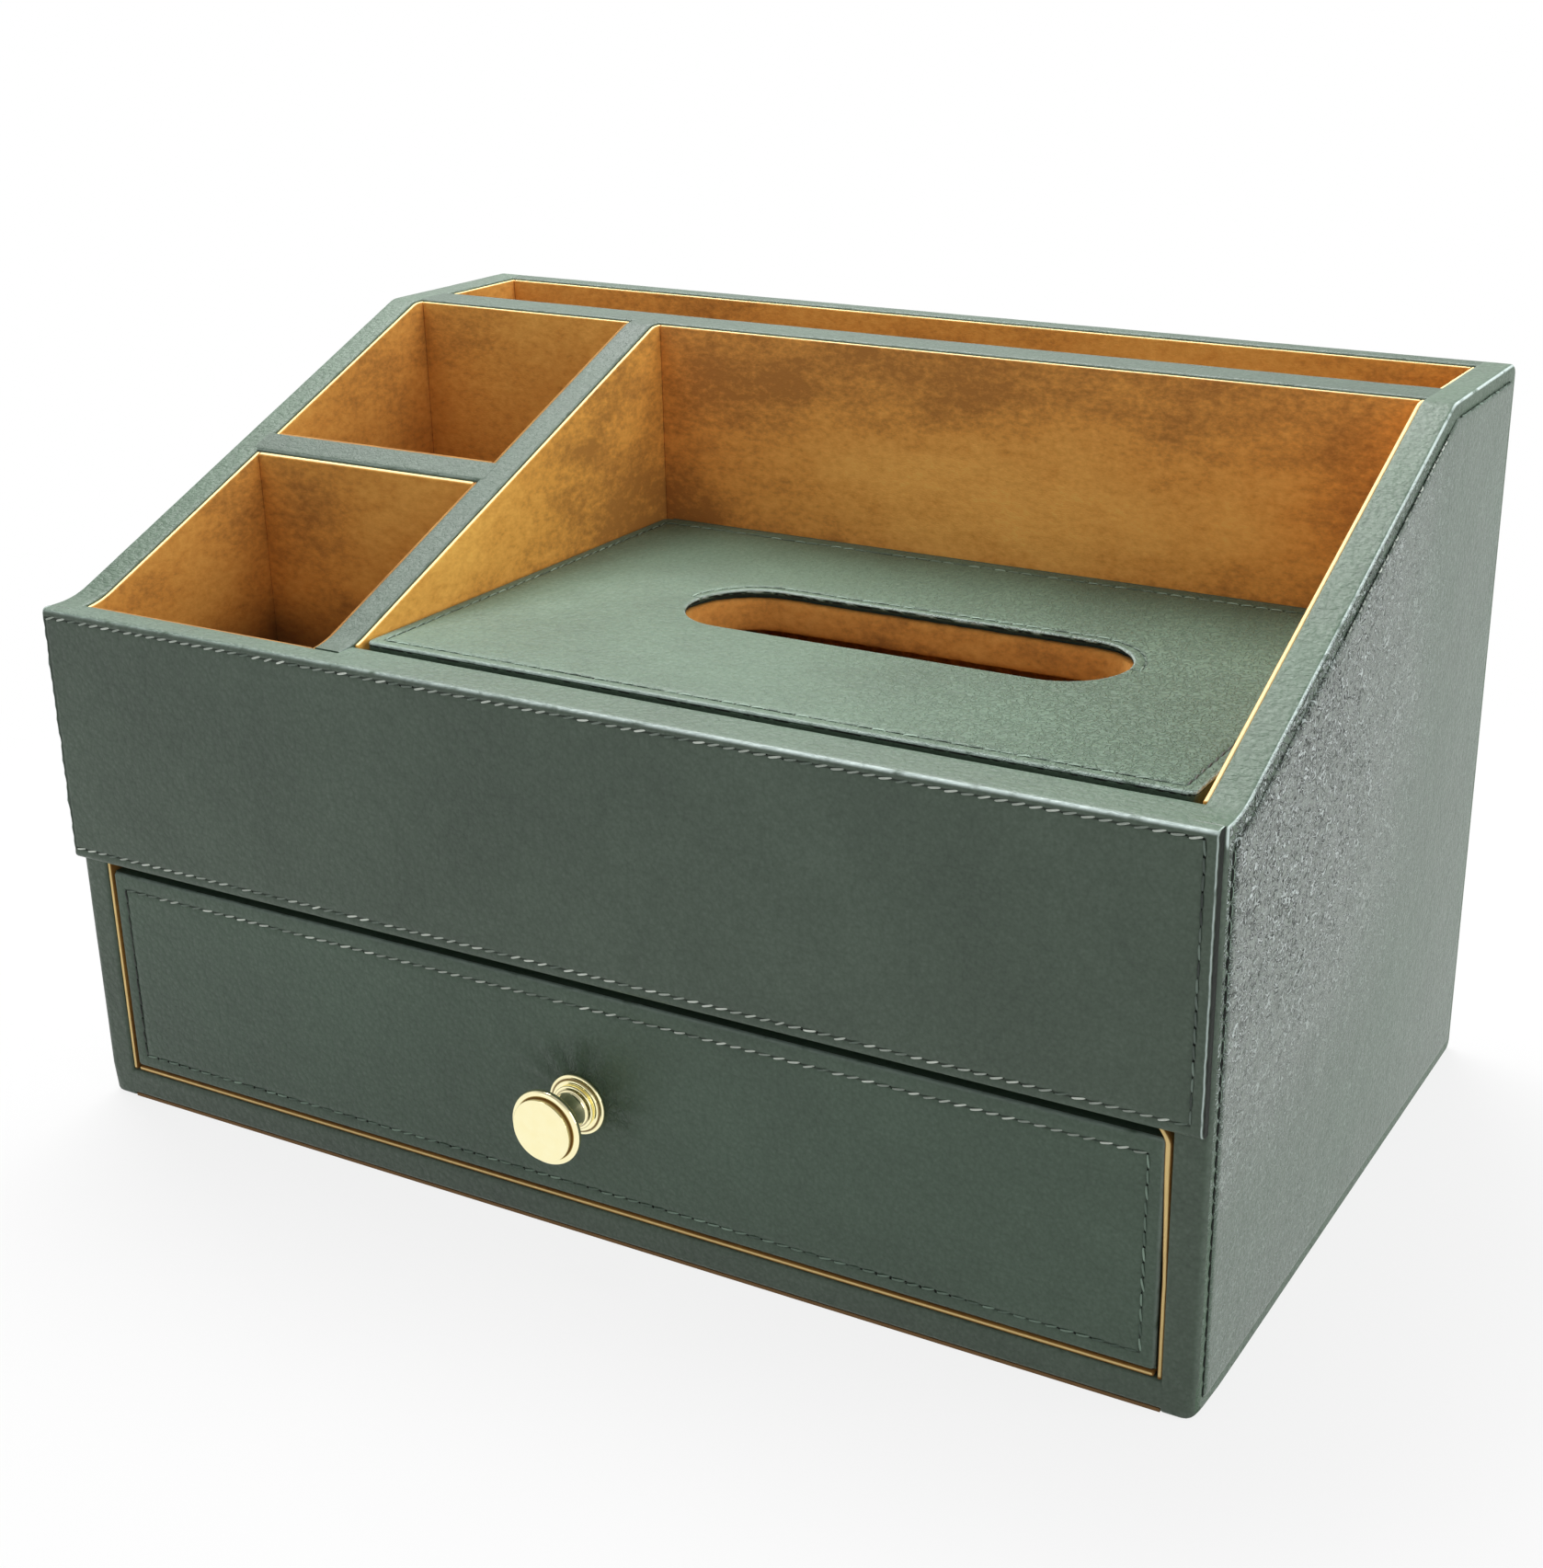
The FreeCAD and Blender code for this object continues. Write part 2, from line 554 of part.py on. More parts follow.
def knob():
    """Waisted knob: a foot ring, a hollow neck line, and a flat head with a rolled rim."""
    foot = backplate_height
    bore = screw_radius + screw_fit
    rim_out = knob_projection - knob_dome
    head_back = rim_out - knob_head_thickness
    groove_outer = knob_disc_radius + knob_groove_width
    rim_roll = knob_head_radius - groove_outer
    neck_start = foot + knob_collar_height
    neck_radius = (knob_collar_radius + knob_waist_radius) / 2
    waist_out = (neck_start + head_back) / 2
    head_root = knob_head_radius - knob_back_roll
    dome_radius = (knob_disc_radius ** 2 + knob_dome ** 2) / (2 * knob_dome)
    dome_middle_out = knob_projection - dome_radius + math.sqrt(
        dome_radius ** 2 - (knob_disc_radius / 2) ** 2)
    profile = [
        (bore, foot),
        (knob_collar_radius, foot),
        (knob_collar_radius, neck_start),
        (neck_radius, neck_start),
        (knob_waist_radius, waist_out, neck_radius + knob_neck_flare, head_back),
        (head_root, head_back),
        (knob_head_radius - arc_bow * knob_back_roll, head_back + arc_bow * knob_back_roll,
         knob_head_radius, head_back + knob_back_roll),
        (knob_head_radius, rim_out - rim_roll),
        (knob_head_radius - arc_bow * rim_roll, rim_out - arc_bow * rim_roll, groove_outer, rim_out),
        (groove_outer, rim_out - knob_groove_depth),
        (knob_disc_radius, rim_out - knob_groove_depth),
        (knob_disc_radius, rim_out),
        (knob_disc_radius / 2, dome_middle_out, 0, knob_projection),
        (0, foot + knob_bore_depth),
        (bore, foot + knob_bore_depth),
    ]
    pieces["knob"] = turned(profile)

    hole = screw_radius + screw_clearance
    rim = backplate_rim_height
    plate = [
        (hole, 0),
        (backplate_radius - rim / 2, 0),
        (backplate_radius, rim / 2, backplate_radius - rim / 2, rim),
        (backplate_step_radius, rim),
        (backplate_step_radius - (foot - rim) / 2, foot),
        (hole, foot),
    ]
    pieces["knob_backplate"] = turned(plate)


def knob_fasteners():
    lining_y = drawer_board_rear_y + card
    head_y = lining_y + washer_thickness
    washer = knob_axis_cylinder(washer_radius, lining_y, head_y)
    pieces["knob_washer"] = single(washer.cut(knob_axis_cylinder(screw_radius + screw_clearance,
                                                                  lining_y, head_y)))
    tip_y = drawer_face_y - backplate_height - screw_engagement
    head = knob_axis_cylinder(screw_head_radius, head_y, head_y + screw_head_height)
    head = round_where(head, screw_head_height / 3, lambda b: near(b.YMin, head_y + screw_head_height))
    slot = box(-far, far, head_y + screw_head_height - screw_slot_depth, far,
               knob_height - screw_slot_width / 2, knob_height + screw_slot_width / 2)
    shank = knob_axis_cylinder(screw_radius, tip_y, head_y)
    pieces["knob_screw"] = single(head.cut(slot).fuse(shank))


def build():
    side_boards()
    side_facings()
    back_wall()
    base()
    deck_and_front()
    front_fascia()
    dividers()
    upper_linings()
    drawer_bay_linings()
    lid()
    lid_hinge()
    lid_ledges()
    drawer_boards()
    knob()
    knob_fasteners()
    os.makedirs("parts", exist_ok=True)
    for name, shape in pieces.items():
        shape.exportStep("parts/" + name + ".step")


build()
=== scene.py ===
import json
import math

import bmesh
import bpy
import numpy as np
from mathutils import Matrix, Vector, noise
from mathutils.geometry import delaunay_2d_cdt

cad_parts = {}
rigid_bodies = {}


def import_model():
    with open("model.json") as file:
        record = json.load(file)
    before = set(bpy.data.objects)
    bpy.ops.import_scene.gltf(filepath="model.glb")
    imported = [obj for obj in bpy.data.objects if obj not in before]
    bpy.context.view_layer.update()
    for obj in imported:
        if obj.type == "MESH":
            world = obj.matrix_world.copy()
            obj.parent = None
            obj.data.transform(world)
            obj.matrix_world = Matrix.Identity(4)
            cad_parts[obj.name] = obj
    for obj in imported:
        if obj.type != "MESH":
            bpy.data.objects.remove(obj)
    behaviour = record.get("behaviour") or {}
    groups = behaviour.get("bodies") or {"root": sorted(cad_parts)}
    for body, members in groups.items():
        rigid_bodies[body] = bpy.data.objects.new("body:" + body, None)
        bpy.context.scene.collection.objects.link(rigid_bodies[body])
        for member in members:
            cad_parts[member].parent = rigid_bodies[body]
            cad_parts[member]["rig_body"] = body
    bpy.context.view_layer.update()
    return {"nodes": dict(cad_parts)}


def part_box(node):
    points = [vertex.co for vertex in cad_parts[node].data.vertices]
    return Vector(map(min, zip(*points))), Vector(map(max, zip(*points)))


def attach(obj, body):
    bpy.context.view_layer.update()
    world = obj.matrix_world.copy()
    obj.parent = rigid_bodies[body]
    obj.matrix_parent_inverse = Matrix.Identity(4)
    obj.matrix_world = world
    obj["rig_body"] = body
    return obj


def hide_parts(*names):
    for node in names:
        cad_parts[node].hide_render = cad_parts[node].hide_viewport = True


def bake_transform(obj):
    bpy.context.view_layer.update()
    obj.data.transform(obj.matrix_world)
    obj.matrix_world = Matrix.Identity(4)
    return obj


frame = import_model()

MM = 0.001

# --- Sizes of the leather work, in millimetres ------------------------------------------------------
FRONT_LAND = 8.0             # level top behind the front edge of a side board
REAR_LAND = 53.0             # level top in front of its back edge
FOOT_RADIUS = 25.0           # hollow at the foot of the slope
CREST_RADIUS = 7.0           # round at the top of the slope
CORNER_RADIUS = 3.0          # back corners of a side board
NOSE_RADIUS = 1.0            # its front corner on the floor
BROW_RADIUS = 0.6            # its front corner under the fascia's lap
OUTER_EDGE_RADIUS = 0.9      # where the wrap turns from the top to the outside
FRONT_EDGE_EXTRA = 0.9       # how much fuller that turn is down the front
FOOT_EDGE_EXTRA = 1.4        # and at the front foot
RIM_RADIUS = 0.7             # wrapped edges over the bays
SLOPE_ABOVE = 100.0          # the sloping tops all lie over this height

FACING_MARGIN = 3.8          # bare border of a side board round its glued sheet
FACING_FOOT_RADIUS = 20.0    # hollow of that sheet at the foot of the slope
FACING_CORNER_RADIUS = 1.5
FACING_EDGE_RADIUS = 1.3
SLITS_TOP, SLITS_FOOT = 126.0, 4.0   # heights between which the front seam of a side runs
SLOPE_SEAM = (-32.0, 36.0)   # depths between which its fine seam down the slope runs
LAND_SEAM = (45.0, 88.0)     # and the seam along its level top
BEAD_PITCH, BEAD_LENGTH = 2.2, 1.7   # stitches of the seam down the slope
SIDE_SEAM_HEIGHT = 0.55      # how high the stitches lie over the board of a side
COLLAR_REACH = 3.2           # from the slot in the lid's leather out to the outside of its collar
COLLAR_HALF_WIDTH = 1.5
COLLAR_SIDES = 20
FASCIA_RADIUS = 1.4          # its long edges
FASCIA_END_RADIUS = 0.7

GRAIN_STEP = 1.2             # spacing of the points that shape a leather sheet
ROW_SHARE = 0.87             # spacing of their rows against that of the points in a row
EDGE_RINGS = (0.06, 0.3, 0.65, 1.0)  # rings of points in a rounded edge, in shares of its radius
SEAM_RINGS = (-1, -0.4, 0, 0.4, 1)   # and across a seam, in shares of its half width
CUT_TOP, CUT_FOOT = -0.8, -1.0       # painted shade on a sheet's cut edge, at its top and its foot
UNEVEN_REACH = 3.0           # distance from an edge over which a sheet lies flat
WRAP_STEP = 1.4              # spacing of the points round a wrapped board
WRAP_FRONT = 1.4             # depth of the strip down the front that takes the darker front leather, painted shade
STITCH_PITCH = 3.6
STITCH_LENGTH = 3.3
THREAD_RADIUS = 0.18
SEAM_DEPTH = 0.24
SEAM_HALF_WIDTH = 0.8
THREAD_SIDES, THREAD_STEPS = 6, 6
HOLE_SIDES = 8
HOLE_HALF_LENGTH, HOLE_HALF_WIDTH = 0.36, 0.27
HOLE_BEYOND = 0.12           # from the end of a thread to the middle of its hole
SLIT_HALF_LENGTH, SLIT_HALF_WIDTH = 1.45, 0.55
SLIT_HEIGHTS = (0.06, 0.15)  # foot and top of a slit's floor of painted shadow over the board
LIP_RADIUS = 0.13            # pale lip of leather beside a slit
SLIT_SIDES, LIP_SIDES, LIP_STEPS = 16, 6, 7
RUBBED_AND_LIT_ABOVE = 128.0           # height over which the wrapped edges are made pale, by wear and by a painted highlight
CARD_ROLL = 0.42             # rounding of a lining card's edges under its suede
WELD = 1e-6                  # points nearer than this, in metres, are one


def box_mm(node):
    """Lowest and highest corner of a node of the part, in millimetres."""
    low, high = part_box(node)
    return np.array(low) / MM, np.array(high) / MM


# --- Meshes -----------------------------------------------------------------------------------------
def new_piece(name, points, faces, material, body, smooth_angle=40.0, wear=None, second=None):
    """A mesh piece in metres from points in millimetres, with its finish, riding on a body if any.

    The wear argument says how each point is marked: over 0 it is pale, partly wear and partly a painted
    highlight, and under 0 it is dark, painted shade on leather as in a seam's channel or a cut edge, and
    brown in the brass's groove and steps. second pairs another finish with the faces that have it."""
    mesh = bpy.data.meshes.new(name)
    mesh.from_pydata([tuple(point) for point in np.asarray(points, float) * MM], [], faces)
    if wear is not None:
        wear_and_light_mark = mesh.attributes.new("wear", "FLOAT", "POINT")
        wear_and_light_mark.data.foreach_set("value", np.asarray(wear, np.float32))
    mesh.materials.append(material)
    if second is not None:
        mesh.materials.append(second[0])
        for face in mesh.polygons:
            face.material_index = int(face.index in second[1])
    shaped = bmesh.new()
    shaped.from_mesh(mesh)
    bmesh.ops.remove_doubles(shaped, verts=shaped.verts, dist=WELD)
    loose = [vertex for vertex in shaped.verts if not vertex.link_faces]
    bmesh.ops.delete(shaped, geom=loose, context="VERTS")
    bmesh.ops.recalc_face_normals(shaped, faces=shaped.faces)
    limit = math.radians(smooth_angle)
    for edge in shaped.edges:
        edge.smooth = len(edge.link_faces) != 2 or edge.calc_face_angle(0.0) < limit
    for face in shaped.faces:
        face.smooth = True
    shaped.to_mesh(mesh)
    shaped.free()
    piece = bpy.data.objects.new(name, mesh)
    bpy.context.scene.collection.objects.link(piece)
    if body is not None:
        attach(piece, body)
    return piece


def grid_faces(rows, columns, closed_rows=False, closed_columns=False, first=0):
    """Four-sided faces over a grid of points numbered row by row, from the first number on."""
    faces = []
    for i in range(rows if closed_rows else rows - 1):
        for j in range(columns if closed_columns else columns - 1):
            i2, j2 = (i + 1) % rows, (j + 1) % columns
            faces.append((first + i * columns + j, first + i2 * columns + j,
                          first + i2 * columns + j2, first + i * columns + j2))
    return faces


def capped_faces(rows, columns, first=0):
    """The same over closed rings, with a face over the first and the last ring."""
    last = first + (rows - 1) * columns
    return grid_faces(rows, columns, closed_columns=True, first=first) + [
        tuple(range(first, first + columns)), tuple(reversed(range(last, last + columns)))]


def swept_solid(sections):
    """Points and faces of a closed solid through sections, each a closed ring of points."""
    sections = np.asarray(sections, float)
    return sections.reshape(-1, 3), capped_faces(*sections.shape[:2])


def arc(centre, radius, start, end, steps):
    """Points on an arc between two angles in degrees, with both its ends."""
    angles = [math.radians(start + (end - start) * k / steps) for k in range(steps + 1)]
    return [(centre[0] + radius * math.cos(a), centre[1] + radius * math.sin(a)) for a in angles]


def rounded_loop(corners, steps=7):
    """A closed outline with rounded corners (u, v, radius), anticlockwise."""
    loop = []
    count = len(corners)
    for i, (u, v, radius) in enumerate(corners):
        corner = np.array((u, v), float)
        before = np.array(corners[i - 1][:2], float) - corner
        after = np.array(corners[(i + 1) % count][:2], float) - corner
        before /= np.linalg.norm(before)
        after /= np.linalg.norm(after)
        if radius == 0:
            loop.append(corner)
            continue
        half = math.acos(float(np.clip(before @ after, -1, 1))) / 2
        reach = radius / math.tan(half)
        middle = corner + (before + after) / np.linalg.norm(before + after) * radius / math.sin(half)
        start, end = corner + before * reach - middle, corner + after * reach - middle
        a0 = math.atan2(start[1], start[0])
        turn = (math.atan2(end[1], end[0]) - a0 + math.pi) % (2 * math.pi) - math.pi
        for k in range(steps + 1):
            angle = a0 + turn * k / steps
            loop.append(middle + radius * np.array((math.cos(angle), math.sin(angle))))
    return np.array(loop)


def stadium_loop(centre, length, width, steps=24):
    """A clockwise outline with half-round ends."""
    radius = width / 2
    loop = []
    for side in (1, -1):
        for k in range(steps + 1):
            angle = side * math.pi / 2 - math.pi * k / steps
            loop.append((centre[0] + side * (length / 2 - radius) + radius * math.cos(angle),
                         centre[1] + radius * math.sin(angle)))
    return np.array(loop)


def spaced(loop, step):
    """The same closed outline with points no further apart than step."""
    points = []
    for start, end in zip(loop, np.roll(loop, -1, axis=0)):
        count = max(1, math.ceil(np.linalg.norm(end - start) / step))
        points.extend(start + (end - start) * k / count for k in range(count))
    return np.array(points)


def inset(loop, distance):
    """An outline moved to the left of its direction, which is inwards for an anticlockwise one."""
    before = loop - np.roll(loop, 1, axis=0)
    after = np.roll(loop, -1, axis=0) - loop
    keep = (np.linalg.norm(before, axis=1) > 1e-6) & (np.linalg.norm(after, axis=1) > 1e-6)
    loop, before, after = loop[keep], before[keep], after[keep]
    before /= np.linalg.norm(before, axis=1)[:, None]
    after /= np.linalg.norm(after, axis=1)[:, None]
    along = before + after
    normal = np.stack((-along[:, 1], along[:, 0]), 1)
    normal /= np.linalg.norm(normal, axis=1)[:, None]
    left = np.stack((-before[:, 1], before[:, 0]), 1)
    stretch = np.clip((normal * left).sum(1), 0.5, 1.0)
    return loop + normal * (distance / stretch)[:, None]


def distance_to(loops, points):
    """Distance of each point from the nearest outline."""
    nearest = np.full(len(points), np.inf)
    for loop in loops:
        for start, end in zip(loop, np.roll(loop, -1, axis=0)):
            along = end - start
            length_squared = along @ along
            if length_squared < 1e-12:
                continue
            t = np.clip((points - start) @ along / length_squared, 0, 1)
            gap = points - start - t[:, None] * along
            nearest = np.minimum(nearest, np.hypot(gap[:, 0], gap[:, 1]))
    return nearest


def inside(loops, points):
    """True for the points within the first outline and outside its holes."""
    odd = np.zeros(len(points), bool)
    for loop in loops:
        for (u0, v0), (u1, v1) in zip(loop, np.roll(loop, -1, axis=0)):
            if v0 == v1:
                continue
            crosses = (points[:, 1] > v0) != (points[:, 1] > v1)
            at = u0 + (points[:, 1] - v0) * (u1 - u0) / (v1 - v0)
            odd ^= crosses & (points[:, 0] < at)
    return odd


def triangulated(loops, rings, filling):
    """Triangles over an outline with holes, through rings inside it and the filling points."""
    points, edges = [], []
    for ring in list(loops) + list(rings):
        first = len(points)
        points.extend(Vector(point) for point in ring)
        edges.extend((first + k, first + (k + 1) % len(ring)) for k in range(len(ring)))
    points.extend(Vector(point) for point in filling)
    flat, _, faces, *_ = delaunay_2d_cdt(points, edges, [], 0, 1e-5)
    flat = np.array([tuple(point) for point in flat])
    faces = np.array([tuple(face) for face in faces])
    return flat, faces[inside(loops, flat[faces].mean(1))]


def edge_drop(distance, radius):
    """How far a surface falls away towards an edge rounded with that radius."""
    reach = np.clip(radius - distance, 0, radius)
    return radius - np.sqrt(radius ** 2 - reach ** 2)


def seam_dip(offset):
    """Depth of the channel that a tight row of stitches pulls, at an offset from the row."""
    return SEAM_DEPTH * np.clip(1 - (offset / SEAM_HALF_WIDTH) ** 2, 0, 1) ** 2


def seam_shade(offset):
    """How much painted shade darkens the bottom of a seam's channel, at an offset from the row."""
    return 0.6 * np.clip(1 - offset / (0.6 * SEAM_HALF_WIDTH), 0, 1)


def swell(points, size, seed):
    """Soft unevenness between -1 and 1 with bumps of about that size."""
    shift = Vector((seed * 17.3, seed * 5.1, seed * 9.7))
    return np.array([noise.noise(Vector(point) / size + shift) for point in points])


def laid_on(axis, level, outward):
    """How (u, v, height) becomes a point of the part, for a face at a level of an axis.

    u and v run along the other two axes. outward is 1 or -1, the way that the face looks."""
    def place(u, v, height):
        spot = [u, v]
        spot.insert(axis, level + outward * height)
        return tuple(spot)

    return place


def unevenness(depth, *swells):
    """The relief of a sheet: swells (rise, size, seed), at a depth of its own in the noise."""
    def relief(flat):
        spots = np.column_stack((flat, np.full(len(flat), depth)))
        return sum(rise * swell(spots, size, seed) for rise, size, seed in swells)

    return relief


def leather_sheet(name, loops, thickness, radius, place, relief, seams, rub_and_highlight, material, body):
    """A sheet of leather on a flat board, with rounded edges, sunk seams and an uneven face.

    loops are the outline and its holes, seams the closed rows of stitches. place turns (u, v, height) into
    the part's frame, relief gives the unevenness, and the rub argument says how pale the edges are made,
    partly wear and partly a painted highlight."""
    loops = [spaced(loop, GRAIN_STEP) for loop in loops]
    rings = [inset(loop, radius * share) for loop in loops for share in EDGE_RINGS]
    rings += [inset(spaced(seam, GRAIN_STEP), SEAM_HALF_WIDTH * share)
              for seam in seams for share in SEAM_RINGS]
    low, high = loops[0].min(0), loops[0].max(0)
    u, v = np.meshgrid(np.arange(low[0], high[0], GRAIN_STEP),
                       np.arange(low[1], high[1], GRAIN_STEP * ROW_SHARE))
    u[::2] += GRAIN_STEP / 2
    filling = np.stack((u.ravel(), v.ravel()), 1)
    filling = filling[inside(loops, filling)]
    clear = distance_to(loops, filling) > radius + GRAIN_STEP * 0.6
    clear &= distance_to(seams, filling) > SEAM_HALF_WIDTH + GRAIN_STEP * 0.5
    flat, faces = triangulated(loops, rings, filling[clear])
    edge = distance_to(loops, flat)
    share = min(1.0, 0.93 * thickness / radius)
    height = thickness - edge_drop(edge, radius) * share - seam_dip(distance_to(seams, flat))
    height += relief(flat) * np.clip(edge / UNEVEN_REACH, 0, 1)
    points = [place(*spot, rise) for spot, rise in zip(flat, height)]
    # The edges are made pale, partly wear and partly a painted highlight, and the seam channels get painted
    # shade.
    wear = list(rub_and_highlight * np.clip(1.2 - edge / radius, 0, 1) - seam_shade(distance_to(seams, flat)))
    faces = [tuple(face) for face in faces]
    under, under_faces = triangulated(loops, [], [])
    first = len(points)
    points += [place(*spot, 0.0) for spot in under]
    faces += [tuple(first + k for k in reversed(face)) for face in under_faces]
    for loop in loops:
        first = len(points)
        points += [place(*spot, thickness - radius * share) for spot in loop]
        points += [place(*spot, 0.0) for spot in loop]
        faces += grid_faces(2, len(loop), closed_columns=True, first=first)
        # The cut walls get painted shade.
        wear += [0.0] * (first - len(wear)) + [CUT_TOP] * len(loop) + [CUT_FOOT] * len(loop)
    return new_piece(name, points, faces, material, body, wear=wear)


# --- Stitches ---------------------------------------------------------------------------------------
def along_line(start, end, pitch=STITCH_PITCH):
    """Middles and directions of stitches spaced evenly between two points."""
    start, end = np.array(start, float), np.array(end, float)
    length = np.linalg.norm(end - start)
    count = max(1, round(length / pitch))
    direction = (end - start) / length
    return [(start + (end - start) * (k + 0.5) / count, direction) for k in range(count)]


def along_loop(loop, pitch=STITCH_PITCH):
    """Middles and directions of stitches spaced evenly round a closed outline."""
    ends = np.roll(loop, -1, axis=0)
    lengths = np.linalg.norm(ends - loop, axis=1)
    reached = np.concatenate(([0], np.cumsum(lengths)))
    count = round(reached[-1] / pitch)
    spots = []
    for k in range(count):
        at = (k + 0.5) * reached[-1] / count
        i = min(int(np.searchsorted(reached, at, side="right")) - 1, len(loop) - 1)
        direction = (ends[i] - loop[i]) / lengths[i]
        spots.append((loop[i] + direction * (at - reached[i]), direction))
    return spots


def stitch_row(name, spots, place, height, slant, thread, body, seed, length=STITCH_LENGTH):
    """A row of stitches: short arched threads that dive into holes at both ends, each a near-black disc of
    painted shadow.

    slant is how many degrees each thread leans from the row."""
    points, faces, wear, dark = [], [], [], set()
    draw = np.random.default_rng(seed)
    floor_height = height - SEAM_DEPTH
    for middle, direction in spots:
        turn = math.radians(slant + draw.normal(0, 3))
        along = np.array((direction[0] * math.cos(turn) - direction[1] * math.sin(turn),
                          direction[0] * math.sin(turn) + direction[1] * math.cos(turn)))
        across = np.array((-along[1], along[0]))
        reach = length / 2 * (1 + draw.normal(0, 0.04))
        middle = middle + across * draw.normal(0, 0.05)
        wear_and_light_mark = float(np.clip(draw.normal(0.45, 0.33), 0, 1))
        first = len(points)
        for step in range(THREAD_STEPS + 1):
            t = step / THREAD_STEPS * 2 - 1
            centre = middle + along * t * reach
            lift = floor_height + THREAD_RADIUS * (1.0 - 1.9 * t ** 4)
            for k in range(THREAD_SIDES):
                angle = 2 * math.pi * k / THREAD_SIDES
                side = centre + across * THREAD_RADIUS * (1.4 - 0.5 * t * t) * math.cos(angle)
                points.append(place(*side, lift + THREAD_RADIUS * 0.9 * math.sin(angle)))
        faces += capped_faces(THREAD_STEPS + 1, THREAD_SIDES, first)
        for end in (-1, 1):
            hole = len(points)
            centre = middle + along * end * (reach + HOLE_BEYOND)
            for k in range(HOLE_SIDES):
                angle = 2 * math.pi * k / HOLE_SIDES
                rim = (centre + along * HOLE_HALF_LENGTH * math.cos(angle)
                       + across * HOLE_HALF_WIDTH * math.sin(angle))
                points.append(place(*rim, floor_height + 0.02))
            points.append(place(*centre, floor_height + 0.05))
            dark |= set(range(len(faces), len(faces) + HOLE_SIDES + 1))
            faces += [(hole + k, hole + (k + 1) % HOLE_SIDES, hole + HOLE_SIDES) for k in range(HOLE_SIDES)]
            faces.append(tuple(hole + k for k in reversed(range(HOLE_SIDES))))
        wear += [wear_and_light_mark] * (len(points) - len(wear))
    return new_piece(name, points, faces, thread, body, smooth_angle=70, wear=wear,
                     second=(stitch_hole_shadow, dark))


# --- Shader graphs ------------------------------------------------------------------------------------
class Value:
    """A number that varies over a surface, so that shader maths reads as plain arithmetic."""

    def __init__(self, shader, socket):
        self.shader = shader
        self.socket = socket

    def maths(self, operation, *values):
        """Adds a Math node on these values."""
        return self.shader.node("Math", {"operation": operation}, dict(enumerate(values)))

    def __add__(self, other):
        return self.maths("ADD", self, other)

    def __sub__(self, other):
        return self.maths("SUBTRACT", self, other)

    def __rsub__(self, other):
        return self.maths("SUBTRACT", other, self)

    def __mul__(self, other):
        return self.maths("MULTIPLY", self, other)

    def __truediv__(self, other):
        return self.maths("DIVIDE", self, other)

    def __abs__(self):
        return self.maths("ABSOLUTE", self)

    def __pow__(self, other):
        return self.maths("POWER", self, other)

    __radd__ = __add__
    __rmul__ = __mul__


